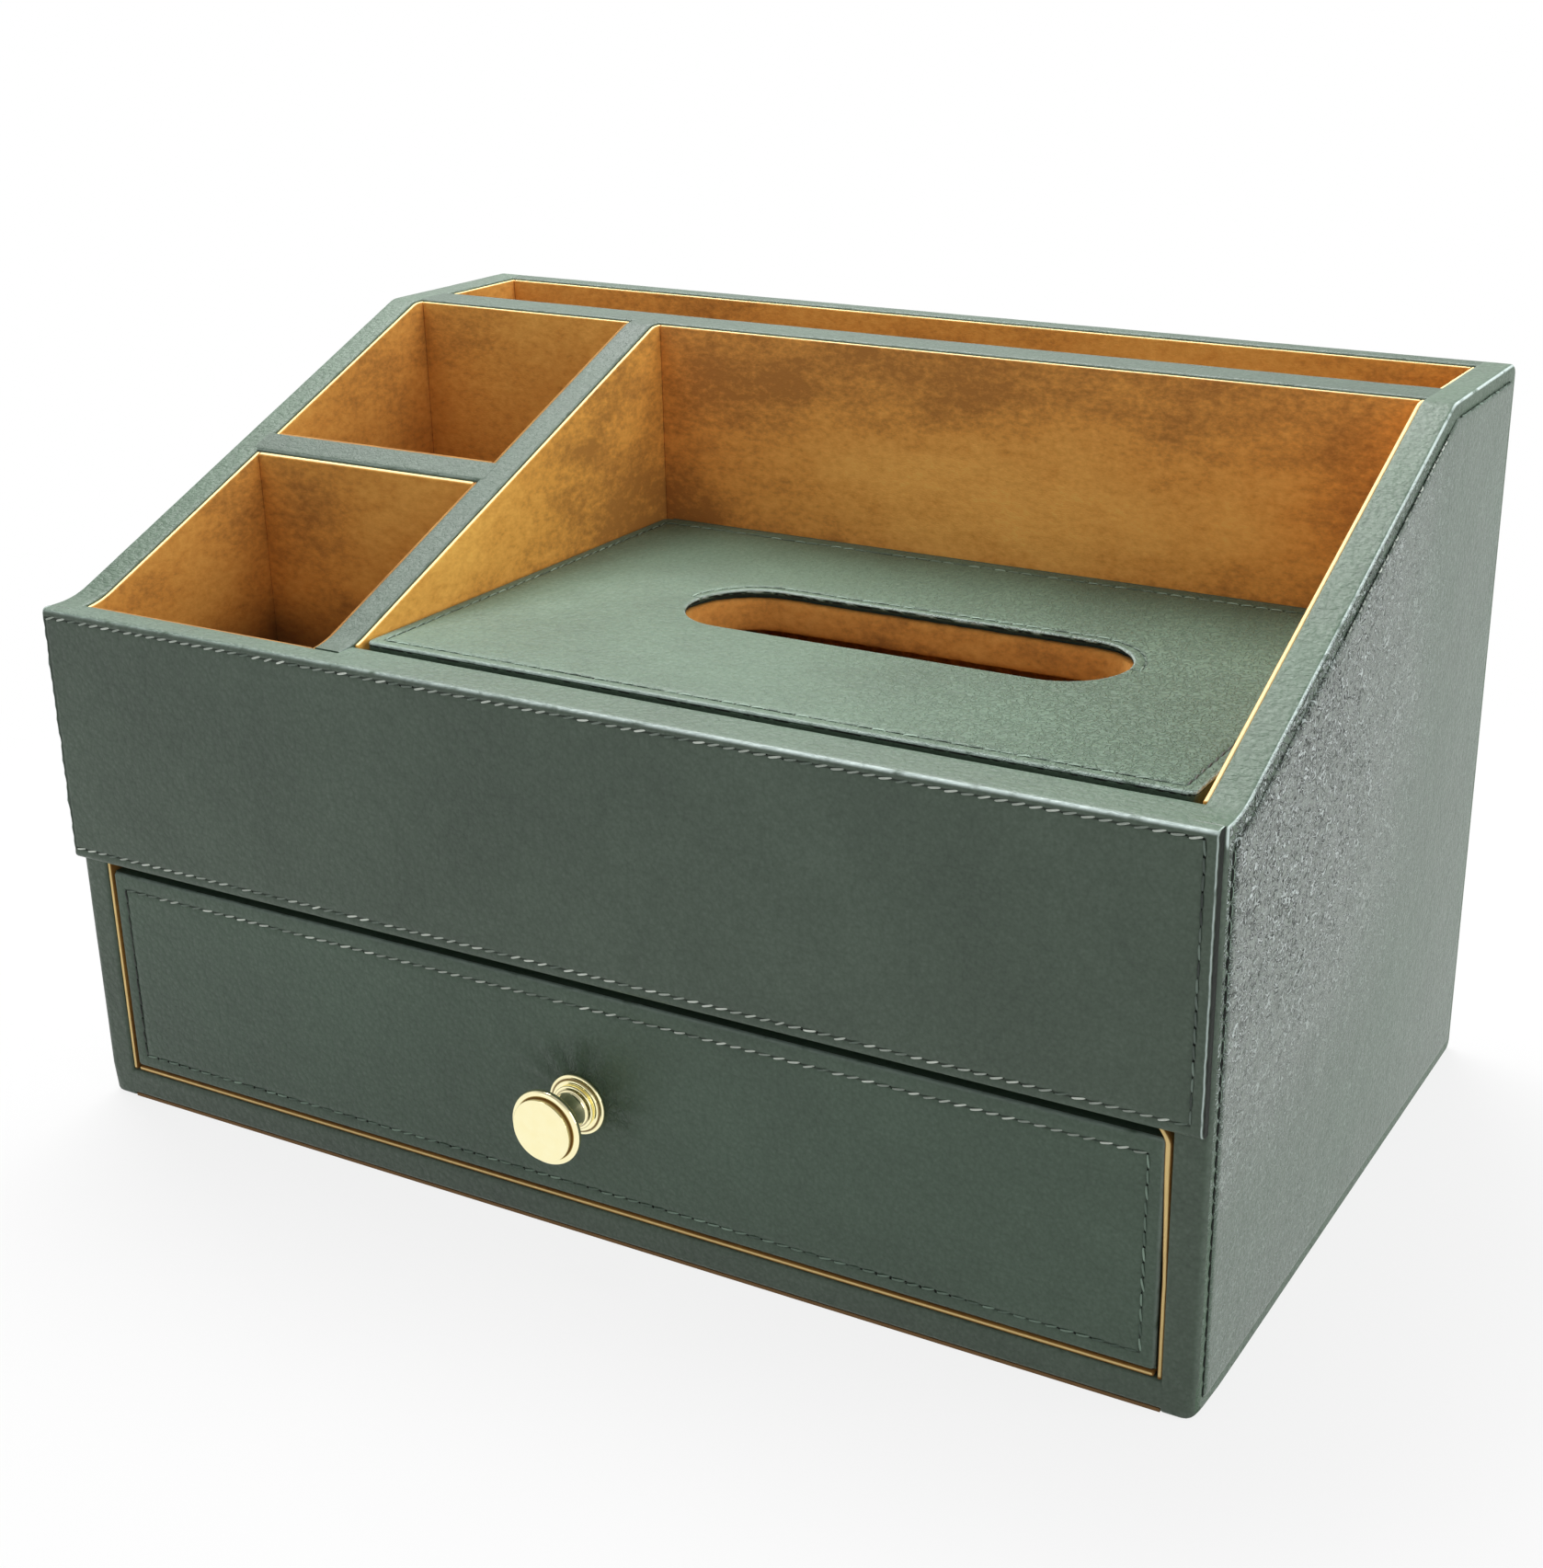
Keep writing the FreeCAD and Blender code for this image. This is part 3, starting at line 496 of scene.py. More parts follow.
class Shader:
    """The node graph of one finish."""

    def __init__(self, name, owner=None):
        self.material = owner or bpy.data.materials.new(name)
        self.material.use_nodes = True
        self.tree = self.material.node_tree
        self.tree.nodes.clear()

    def node(self, kind, settings=None, sockets=None, output=0):
        """Adds a node, with its settings first and then its sockets, and gives one of its outputs."""
        made = self.tree.nodes.new("ShaderNode" + kind)
        for name, value in (settings or {}).items():
            if name == "stops":
                ramp = made.color_ramp.elements
                while len(ramp) < len(value):
                    ramp.new(0.5)
                for stop, (position, colour) in zip(ramp, value):
                    stop.position = position
                    stop.color = (*colour, 1.0)
            else:
                setattr(made, name, value)
        for name, value in (sockets or {}).items():
            socket = made.inputs[name]
            if isinstance(value, Value):
                self.tree.links.new(value.socket, socket)
            elif hasattr(socket.default_value, "__len__") and len(value) < len(socket.default_value):
                socket.default_value = (*value, 1.0)
            else:
                socket.default_value = value
        return Value(self, made.outputs[output]) if made.outputs else None

    def place(self):
        """Where a point is on the part, in millimetres."""
        metres = self.node("TexCoord", output="Object")
        return self.node("VectorMath", {"operation": "SCALE"}, {0: metres, "Scale": 1 / MM})

    def stretched(self, vector, factors):
        """A place with each axis scaled, so that a pattern runs longer where the factor is small."""
        return self.node("VectorMath", {"operation": "MULTIPLY"}, {0: vector, 1: factors})

    def split(self, vector):
        """The x, y and z of a vector."""
        return [self.node("SeparateXYZ", sockets={0: vector}, output=k) for k in range(3)]

    def clouds(self, vector, size, detail=2.0, roughness=0.5, distortion=0.0):
        """Soft noise round 0.5, with blots of about that size in millimetres."""
        return self.node("TexNoise", sockets={"Vector": vector, "Scale": 1 / size, "Detail": detail,
                                              "Roughness": roughness, "Distortion": distortion})

    def cells(self, vector, size):
        """How far a point is from the middle of its cell, with cells of about that size."""
        return self.node("TexVoronoi", {"feature": "F1"}, {"Vector": vector, "Scale": 1 / size},
                         output="Distance")

    def wear_and_light_mark(self):
        """The marks of wear and of painted light and shade that a mesh carries at its points."""
        return self.node("Attribute", {"attribute_name": "wear"}, output="Fac")

    def ramp(self, value, *stops):
        """A colour from (position, colour) stops."""
        return self.node("ValToRGB", {"stops": stops}, {"Fac": value})

    def between(self, value, low, high):
        """0 below low and 1 above high, with a smooth step between."""
        return self.node("MapRange", {"interpolation_type": "SMOOTHSTEP"},
                         {"Value": value, "From Min": low, "From Max": high})

    def mix(self, factor, first, second):
        """A colour between two colours."""
        return self.node("Mix", {"data_type": "RGBA"}, {0: factor, 6: first, 7: second}, output=2)

    def ray(self, kind):
        """1 where a ray of that kind looks, such as Camera or Glossy, and 0 for the others."""
        return self.node("LightPath", output="Is %s Ray" % kind)

    def finish(self, height=None, **sockets):
        """Ends the graph in a surface whose bumps have that height in millimetres."""
        inputs = {name.replace("_", " "): value for name, value in sockets.items()}
        if height is not None:
            inputs["Normal"] = self.node("Bump", sockets={"Strength": 1.0, "Distance": MM, "Height": height})
        surface = self.node("BsdfPrincipled", sockets=inputs)
        self.node("OutputMaterial", sockets={"Surface": surface})
        return self.material


# --- Finishes -----------------------------------------------------------------------------------------
LEATHER_TONES = ((0.25, (0.044, 0.076, 0.050)), (0.5, (0.062, 0.104, 0.069)), (0.78, (0.088, 0.140, 0.098)))
# painted sheen over the crinkled side
LEATHER_PAINTED_SHEEN = (0.19, 0.23, 0.20)
# pale of worn edges, and painted highlight on edges and crinkle ridges
LEATHER_WORN_AND_HIGHLIT = (0.64, 0.76, 0.73)
# painted shade in crinkle valleys, seam channels and cut walls
LEATHER_PAINTED_SHADE = (0.008, 0.011, 0.008)
SUEDE_TONES = ((0.28, (0.400, 0.168, 0.035)), (0.52, (0.700, 0.315, 0.062)), (0.80, (0.880, 0.460, 0.105)))
# painted shade towards the foot of the bins
SUEDE_GLOOM = (0.10, 0.043, 0.013)
# pale rolled edge of a card, partly wear and partly a painted highlight where it faces the light
CARD_EDGE = (1.0, 0.80, 0.42)
FLOOR_CARD_TOP = (8.15, 8.4)  # heights over which the pale edge of an upright card, partly wear and partly a painted highlight, sets in


def tinted(tones, tint_and_painted_light):
    """The stops of a ramp with each colour lightened or darkened."""
    return [(position, tuple(np.multiply(colour, tint_and_painted_light))) for position, colour in tones]


def leather(name, painted_light_and_tint, roughness, coat, ridges=None, wrinkles=None,
            wrinkle_stretch=(1.0, 1.0, 1.0), emboss=1.0):
    """Embossed leather: a pebble grain, and raised squiggles and fine wrinkles where their masks say.

    The second argument lightens or darkens its colours, as one number or for red, green and blue; it is
    painted light and shade, which makes lighter copies of one leather for the lid, the lap and the sides and
    darker ones for the fronts and the rims. ridges and wrinkles take the shader and x, y and z, and give the
    mask of each, from 0 to 1."""
    shader = Shader(name)
    place = shader.place()
    x, y, z = shader.split(place)
    pebble = shader.cells(place, 1.5)
    pores = shader.clouds(place, 0.7, detail=1.0)
    pull = shader.clouds(place, 3.6, detail=1.0)
    soft = shader.clouds(place, 46.0, detail=2.0)
    blotch = shader.clouds(place, 8.0, detail=2.0)
    height = (pebble * -0.15 + pores * 0.10 + pull * 0.15) * emboss
    tone = soft * 0.55 + blotch * 0.2 + (pebble * -0.22 + pores * 0.42 - 0.11) * emboss + 0.13
    shine = coat + (pores - 0.5) * 0.3
    valley = None
    if ridges is not None:
        mask = ridges(shader, x, y, z)
        lengthwise = shader.stretched(place, (1.0, 0.7, 1.0))
        curl = shader.clouds(lengthwise, 2.3, detail=0.5, distortion=1.5)
        small = shader.clouds(lengthwise, 1.3, detail=0.5, distortion=1.2)
        from_curl, from_small = abs(curl - 0.5), abs(small - 0.5)
        thick = 1 - shader.between(from_curl, 0.0, 0.05)
        fine = 1 - shader.between(from_small, 0.0, 0.05)
        groove = shader.between(from_curl, 0.03, 0.06) * (1 - shader.between(from_curl, 0.07, 0.11))
        pit = shader.between(small, 0.60, 0.68)
        raised = (thick + fine * 0.7) * mask
        valley = (groove * 0.75 + pit * 0.55) * mask
        height = height + raised * 0.50 - valley * 0.22
        # The ridges' tone is raised and the valleys' lowered: painted highlight and painted shade on the
        # crinkles.
        tone = tone + raised * 0.35 - valley * 0.35
        shine = shine + shader.between(mask, 0.0, 0.4) * 0.30 + shader.between(y, -20.0, 80.0) * 0.12
        shine = shine + raised * 0.4 - valley * 0.6
    if wrinkles is not None:
        mask = wrinkles(shader, x, y, z)
        folds = shader.clouds(shader.stretched(place, wrinkle_stretch), 1.5, detail=1.0, distortion=0.8)
        line = (1 - shader.between(abs(folds - 0.5), 0.0, 0.08)) * mask
        height = height - line * 0.16
        # Fold lines are darkened with painted shade, and the masked area a little more; on the lid that is
        # painted shade towards the rear and the right.
        tone = tone - line * 0.30 - mask * 0.06
        shine = shine - mask * 0.15
    colour = shader.ramp(tone, *tinted(LEATHER_TONES, painted_light_and_tint))
    if ridges is not None:
        # Painted sheen over the crinkled area, painted highlight on the ridges, and painted shade in the
        # valleys.
        colour = shader.mix(mask * 0.5, colour, LEATHER_PAINTED_SHEEN)
        colour = shader.mix(raised * 0.9, colour, LEATHER_WORN_AND_HIGHLIT)
        colour = shader.mix(valley * 0.9, colour, LEATHER_PAINTED_SHADE)
    wear = shader.wear_and_light_mark()
    # Pale marks from the mesh: partly wear, partly a painted highlight on the edges.
    worn_and_highlit = shader.between(wear, 0.0, 1.0) * shader.between(shader.clouds(place, 4.5, detail=3.0), 0.2, 0.5)
    colour = shader.mix(worn_and_highlit, colour, LEATHER_WORN_AND_HIGHLIT)
    # Dark marks from the mesh are painted shade in seam channels, on cut walls and on the fascia's end wall.
    painted_shade = shader.between(wear * -1, 0.0, 0.8)
    colour = shader.mix(painted_shade, colour, LEATHER_PAINTED_SHADE)
    shine = shine * (1 - painted_shade)
    roughness = roughness + (soft - 0.5) * 0.14 + pebble * 0.05 + painted_shade * 0.4
    if valley is not None:
        roughness = roughness + valley * 0.3 - raised * 0.06
    return shader.finish(height, Base_Color=colour, Roughness=roughness, Coat_Weight=shine,
                         Coat_Roughness=0.30, Specular_IOR_Level=0.35)


def suede(name, edge_axis, light_spot=None, tint_and_painted_light=(1.0, 1.0, 1.0), gloom=None, brush=(0.75, 0.75, 1.25),
          edge_band=(0.6, 0.9), edge_colour=CARD_EDGE):
    """Suede-faced card: brushed mottling, and a pale rolled edge, partly wear and partly a painted
    highlight, where it looks along edge_axis.

    edge_axis is the number of an axis and the way along it, and edge_band how far the face has to be turned
    that way. light_spot is the middle, reach and strength of a painted pool of light, gloom the two heights
    between which painted shade darkens the suede downwards, and brush stretches the mottling. The tint
    lightens or darkens the suede, painted light and shade by where the card stands."""
    shader = Shader(name)
    place = shader.place()
    brushed = shader.stretched(place, brush)
    mottle = shader.clouds(brushed, 34.0, detail=3.0, roughness=0.5)
    streaks = shader.clouds(shader.stretched(place, (0.45, 0.45, 1.8)), 7.0, detail=2.0, roughness=0.5)
    nap = shader.clouds(brushed, 2.0, detail=3.0, roughness=0.7)
    fibre = shader.clouds(shader.stretched(place, (0.5, 0.5, 2.0)), 0.5, detail=2.0)
    patches = shader.clouds(brushed, 11.0, detail=3.0, roughness=0.6)
    tone = mottle * 0.66 + patches * 0.32 + streaks * 0.22 + (nap - 0.5) * 0.6 - 0.07
    if light_spot is not None:
        middle, reach, strength = light_spot
        away = [abs(axis - centre) / size
                for axis, centre, size in zip(shader.split(place), middle, reach)]
        gap = (away[0] * away[0] + away[1] * away[1] + away[2] * away[2]) ** 0.5
        tone = tone + (0.5 - shader.between(gap, 0.0, 1.4)) * strength
    colour = shader.ramp(tone, *tinted(SUEDE_TONES, tint_and_painted_light))
    if gloom is not None:
        # Painted shade, darker towards the foot of the bins.
        depth = 1 - shader.between(shader.split(place)[2] + (mottle - 0.5) * 16, *gloom)
        colour = shader.mix(depth * 0.78, colour, SUEDE_GLOOM)
    if edge_axis is not None:
        axis, sign = edge_axis
        facing = shader.split(shader.node("TexCoord", output="Normal"))[axis] * sign
        # The pale edge is partly wear and partly a painted highlight on faces turned upwards or forwards.
        edge = shader.between(facing, *edge_band) * shader.between(shader.split(place)[2], *FLOOR_CARD_TOP)
        colour = shader.mix(edge, colour, edge_colour)
    height = fibre * 0.05 + nap * 0.10 + streaks * 0.10
    return shader.finish(height, Base_Color=colour, Roughness=0.85, Sheen_Weight=0.2,
                         Sheen_Roughness=0.5, Sheen_Tint=(0.9, 0.6, 0.3), Specular_IOR_Level=0.25)


def brass(name):
    """Polished brass, darkened to brown where the mesh's mark is below zero, in the knob's groove and steps.
    """
    shader = Shader(name)
    place = shader.place()
    haze = shader.clouds(place, 3.0, detail=3.0)
    scratch = shader.clouds(shader.stretched(place, (1.0, 0.2, 6.0)), 0.8, detail=2.0)
    colour = shader.mix(haze, (0.98, 0.88, 0.50), (1.0, 0.95, 0.62))
    darkened = shader.between(shader.wear_and_light_mark() * -1, 0.0, 1.0)
    colour = shader.mix(darkened, colour, (0.16, 0.08, 0.02))
    return shader.finish(scratch * 0.003, Base_Color=colour, Metallic=1.0,
                         Roughness=haze * 0.06 + darkened * 0.4 + 0.07)


def thread(name, dark, light, sheen=0.5):
    """Twisted thread, from its dark colour to its light one where it is rubbed."""
    shader = Shader(name)
    twist = shader.clouds(shader.place(), 0.25, detail=2.0)
    tone = shader.mix(shader.wear_and_light_mark() + (twist - 0.5) * 0.3, dark, light)
    return shader.finish(twist * 0.08, Base_Color=tone, Roughness=0.6, Specular_IOR_Level=sheen)


def plain_card(name, colour):
    """Brown card with a faint grain along x."""
    shader = Shader(name)
    place = shader.place()
    grain = shader.clouds(shader.stretched(place, (0.3, 1.0, 1.0)), 2.0, detail=4.0)
    tone = shader.mix(grain, [0.72 * c for c in colour], [1.2 * c for c in colour])
    return shader.finish(grain * 0.05, Base_Color=tone, Roughness=grain * 0.1 + 0.75)


def steel(name):
    """Plain steel of the knob's screw and washer."""
    shader = Shader(name)
    grain = shader.clouds(shader.place(), 1.0, detail=3.0)
    return shader.finish(grain * 0.01, Base_Color=(0.55, 0.55, 0.54), Metallic=1.0,
                         Roughness=grain * 0.2 + 0.25)


def side_ridges(shader, x, y, z):
    """Strongest near the front and under the slope, fading towards the rear and the foot; it also places the
    painted sheen, highlight and shade of the crinkles.
    """
    forward = 1 - shader.between(y, -55.0, 55.0)
    upper = shader.between(z, 35.0, 118.0)
    patchy = shader.between(shader.clouds(shader.place(), 22.0, detail=1.0), 0.3, 0.6)
    return (forward * (0.06 + upper * 0.94) * 0.94 + 0.06) * (0.75 + patchy * 0.25)


def wrap_ridges(shader, x, y, z):
    """The same on the outside of a wrapped side board, and none on its edges."""
    return side_ridges(shader, x, y, z) * shader.between(abs(x), 149.5, 149.95)


def lid_wrinkles(shader, x, y, z):
    """Stronger towards the right and the rear of the lid, where it darkens the lid with painted shade."""
    return 0.12 + shader.between(x + y * 0.6, -25.0, 95.0)


def knob_wrinkles(shader, x, y, z):
    """A ring of puckers round the knob's backplate, strongest above it."""
    centre = np.mean(box_mm("knob"), axis=0)
    across, up = x - centre[0], z - centre[2]
    reach = (across * across + up * up) ** 0.5
    ring = shader.between(reach, 5.0, 8.0) * (1 - shader.between(reach, 9.0, 19.0))
    return ring * shader.between(up + across * 0.5, -2.0, 7.0) * 0.8


def rim_wrinkles(shader, x, y, z):
    """Faint, and only up on the rims."""
    return shader.between(z, RUBBED_AND_LIT_ABOVE, RUBBED_AND_LIT_ABOVE + 3.0) * 0.22


# Each leather below is the same hide. Its first number is painted light and shade: lighter where light falls
# on the lid, the lap and the sides, darker on the fronts and the rims.
front_leather = leather("leather_front", (0.95, 0.87, 0.90), 0.42, 0.15)
drawer_leather = leather("leather_drawer", 0.93, 0.42, 0.15, wrinkles=knob_wrinkles,
                         wrinkle_stretch=(1.0, 1.0, 0.6))
lap_leather = leather("leather_lap", 1.22, 0.50, 0.12, wrinkles=rim_wrinkles,
                      wrinkle_stretch=(0.4, 1.0, 1.0))
side_leather = leather("leather_side", 1.10, 0.38, 0.22, ridges=side_ridges)
edge_leather = leather("leather_edges", (0.92, 1.04, 0.90), 0.50, 0.07, ridges=wrap_ridges,
                       wrinkles=rim_wrinkles, wrinkle_stretch=(0.35, 1.0, 1.0))
rim_leather = leather("leather_rims", 0.86, 0.52, 0.10, wrinkles=rim_wrinkles, emboss=0.5)
lid_leather = leather("leather_lid", 1.42, 0.54, 0.12, wrinkles=lid_wrinkles)
# heights between which painted shade darkens the bins' suede downwards
BIN_GLOOM = (99.0, 123.0)
UPWARDS, FORWARDS = (2, 1), (1, -1)
# Each suede below is the same hide, and its tint is painted light and shade: the rear and divider walls are
# lighter, with a painted pool of light, and the floors, the drawer bay, the drawer and the hidden tops
# darker.
SUEDE_FINISHES = {
    "upright": suede("suede_upright", UPWARDS, tint_and_painted_light=(1.04, 1.08, 1.05), gloom=BIN_GLOOM),
    "hidden_top": suede("suede_hidden_top", None, tint_and_painted_light=(0.5, 0.5, 0.5), gloom=BIN_GLOOM),
    "floor": suede("suede_floor", None, tint_and_painted_light=(0.45, 0.5, 0.6)),
    # Its pale front edge is partly wear and partly a painted highlight.
    "drawer_bay": suede("suede_drawer_bay", FORWARDS, tint_and_painted_light=(0.4, 0.4, 0.4), edge_band=(0.7, 0.96),
                        edge_colour=(1.0, 0.74, 0.32)),
    "rear_wall": suede("suede_rear_wall", UPWARDS, tint_and_painted_light=(1.22, 1.20, 1.28),
                       light_spot=((45.0, 43.0, 148.0), (95.0, 60.0, 26.0), 0.34)),
    "drawer": suede("suede_drawer", None, tint_and_painted_light=(0.55, 0.58, 0.62)),
    "divider_wall": suede("suede_divider_wall", UPWARDS, tint_and_painted_light=(1.20, 1.28, 1.20),
                          light_spot=((-63.0, -60.0, 140.0), (60.0, 60.0, 45.0), 0.30)),
}
pad_suede = suede("suede_pad", None, tint_and_painted_light=(1.15, 1.15, 1.25), brush=(0.8, 0.8, 1.2))
# One thread in lighter and darker copies: the pale thread is painted highlight for rows in the light, the
# dark and dim threads painted shade for rows turned from it, and the green thread the plain one.
pale_thread = thread("thread_pale", (0.10, 0.14, 0.11), (0.74, 0.80, 0.72))
green_thread = thread("thread_green", (0.050, 0.085, 0.060), (0.27, 0.38, 0.30))
dark_thread = thread("thread_dark", (0.012, 0.014, 0.012), (0.06, 0.075, 0.06))
# Near-black, the painted shadow in stitch holes and slits.
stitch_hole_shadow = thread("stitch_hole_shadow", (0.003, 0.004, 0.003), (0.008, 0.010, 0.008), sheen=0.05)
dim_thread = thread("thread_dim", (0.020, 0.030, 0.024), (0.17, 0.23, 0.19))
polished_brass = brass("polished_brass")
underlay_card = plain_card("underlay_card", (0.26, 0.14, 0.05))
ledge_card = plain_card("ledge_card", (0.20, 0.12, 0.05))
screw_steel = steel("screw_steel")


def suede_for(node):
    """The suede finish of a lining card, by the wall that it stands on."""
    if node.startswith("drawer_bay"):
        return SUEDE_FINISHES["drawer_bay"]
    if "floor" in node or node == "lid_lining":
        return SUEDE_FINISHES["floor"]
    if node == "tissue_bay_rear_lining":
        return SUEDE_FINISHES["rear_wall"]
    if node == "tissue_bay_left_lining":
        return SUEDE_FINISHES["divider_wall"]
    if node in ("front_bin_right_lining", "front_bin_front_lining", "rear_bin_right_lining",
                "rear_bin_front_lining", "letter_slot_front_lining"):
        return SUEDE_FINISHES["hidden_top"]
    return SUEDE_FINISHES["upright"]


def dress_nodes():
    """Gives each node of the part the finish of its own place, also where a piece replaces it later."""
    for name, node in frame["nodes"].items():
        finish = rim_leather
        if name.startswith("knob"):
            finish = polished_brass if name in ("knob", "knob_backplate") else screw_steel
        # The base board's front takes the darker front leather, painted shade.
        elif name == "base_board":
            finish = front_leather
        elif name == "base_underlay":
            finish = underlay_card
        elif "ledge" in name:
            finish = ledge_card
        elif name.startswith("drawer_") and name not in ("drawer_front_board", "drawer_front_facing"):
            finish = SUEDE_FINISHES["drawer"]
        if name.endswith("_lining"):
            finish = suede_for(name)
        node.data.materials.clear()
        node.data.materials.append(finish)


def suede_cards():
    """Each lining card again, with its suede rolled over its edges."""
    for name, node in sorted(frame["nodes"].items()):
        if not name.endswith("_lining") or name == "drawer_bay_right_lining":
            continue
        card = bmesh.new()
        card.from_mesh(node.data)
        bmesh.ops.remove_doubles(card, verts=card.verts, dist=WELD)
        bmesh.ops.dissolve_limit(card, angle_limit=math.radians(1.0), verts=card.verts, edges=card.edges)
        sharp = [edge for edge in card.edges
                 if len(edge.link_faces) == 2 and edge.calc_face_angle(0.0) > math.radians(50)]
        bmesh.ops.bevel(card, geom=sharp, offset=CARD_ROLL * MM, segments=3, profile=0.5, affect="EDGES",
                        clamp_overlap=True)
        points = np.array([tuple(vertex.co) for vertex in card.verts]) / MM
        faces = [tuple(vertex.index for vertex in face.verts) for face in card.faces]
        card.free()
        piece = new_piece(name.replace("_lining", "_suede"), points, faces, suede_for(name),
                          node["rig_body"])
        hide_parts(name)


# --- Leather pieces -----------------------------------------------------------------------------------
def curled_card():
    """The drawer bay's right card, loose at its front edge and curling in over the drawer at the top."""
    low, high = box_mm("drawer_bay_right_lining")
    thickness = high[0] - low[0]
    roll, glued_from, curl_from = 0.5, 20.0, 62.4
    front_edge = [(0.0, 0.0), (0.06, -0.24), (0.28, -0.42), (thickness / 2, -roll),
                  (thickness - 0.28, -0.42), (thickness - 0.06, -0.24), (thickness, 0.0)]
    depths = [(depth, np.clip(1 - depth / glued_from, 0, 1) ** 2)
              for depth in (3.0, 8.0, 14.0, glued_from, high[1] - low[1])]
    sections = []
    for z in np.linspace(low[2], high[2], 80):
        top_curl = 2.4 * np.clip((z - curl_from) / 4.0, 0, 1) ** 1.5
        loose = 0.42 * np.clip((z - 30.0) / 25.0, 0, 1) + 0.05 * noise.noise(Vector((z / 7.0, 3.0, 1.0)))
        lean = top_curl + loose
        fuller = 1 + 0.35 * np.clip((z - 35.0) / 25.0, 0, 1)
        ring = [(low[0] + (across - thickness) * fuller + thickness - lean, low[1] + roll + out, z)
                for across, out in front_edge]
        ring += [(high[0] - lean * ease, low[1] + depth, z) for depth, ease in depths]
        ring += [(low[0] - lean * ease - thickness * (fuller - 1) * ease, low[1] + depth, z)
                 for depth, ease in reversed(depths)]
        sections.append(ring)
    points, faces = swept_solid(sections)
    card = new_piece("drawer_bay_right_suede", points, faces, SUEDE_FINISHES["drawer_bay"], "carcass",
                     smooth_angle=50)
    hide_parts("drawer_bay_right_lining")


def turned(name, profile, node, segments=96):
    """A brass piece turned about the knob's axis, from (radius, distance out, mark) points, a mark below
    zero darkening the brass.
    """
    low, high = box_mm("knob")
    face_y = box_mm("drawer_front_facing")[0][1]
    centre = (low + high) / 2
    circle = arc((0.0, 0.0), 1.0, 0, 360, segments)[:-1]
    sections = [[(centre[0] + radius * c, face_y - out, centre[2] + radius * s) for c, s in circle]
                for radius, out, _ in profile]
    wear = np.repeat([share for _, _, share in profile], segments)
    points, faces = swept_solid(sections)
    piece = new_piece(name, points, faces, polished_brass, "drawer", smooth_angle=50, wear=wear)
    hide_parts(node)


def rolled(centre, radius, start, end, steps=6):
    """A clean arc of a turned profile."""
    return [(*spot, 0.0) for spot in arc(centre, radius, start, end, steps)]


def knob():
    """Backplate with two rolled steps, foot ring, hollow neck, and a head with a rolled rim and groove."""
    plate = [(3.0, 0.0, 0.0), (7.2, 0.0, 0.0)] + rolled((6.9, 0.6), 0.6, -60, 90)
    plate += [(6.55, 1.15, -0.8), (6.35, 1.15, -0.8)] + rolled((5.85, 1.25), 0.45, 0, 90)
    plate += [(3.0, 1.70, 0.0)]
    turned("knob_plate", plate, "knob_backplate")
    head = [(0.5, 1.7, 0.0)] + rolled((4.9, 2.2), 0.5, -90, 90, 10)
    head += [(4.55, 2.72, -0.7)]
    head += [(4.3 - math.sin(math.pi * t) ** 0.8 + 0.25 * t, 2.8 + 8.5 * t, 0.0) for t in np.arange(15) / 14]
    head += [(4.75, 11.4, -0.5), (7.9, 11.35, 0.0)] + rolled((8.1, 12.4), 1.05, -90, 120, 14)
    head += [(7.5, 13.28, -0.9), (7.45, 13.4, -1.0), (7.5, 13.7, -0.8), (7.55, 14.4, -0.5)]
    head += rolled((7.35, 14.5), 0.22, 0, 80, 4)
    head += [(r, 15.0 - 0.28 * (r / 7.4) ** 2, 0.0) for r in (6.8, 5.5, 4.0, 2.5, 1.0, 0.2)]
    turned("knob_head", head, "knob")


def side_corners():
    """Corners (y, z, radius) of a side board, from the front foot round by the back."""
    low, high = box_mm("right_side_board")
    fascia_top = box_mm("front_fascia")[1][2]
    front, rear, top = low[1], high[1], high[2]
    return [(front, 0, NOSE_RADIUS), (rear, 0, CORNER_RADIUS), (rear, top, CORNER_RADIUS),
            (rear - REAR_LAND, top, CREST_RADIUS), (front + FRONT_LAND, fascia_top, FOOT_RADIUS),
            (front, fascia_top, BROW_RADIUS)]


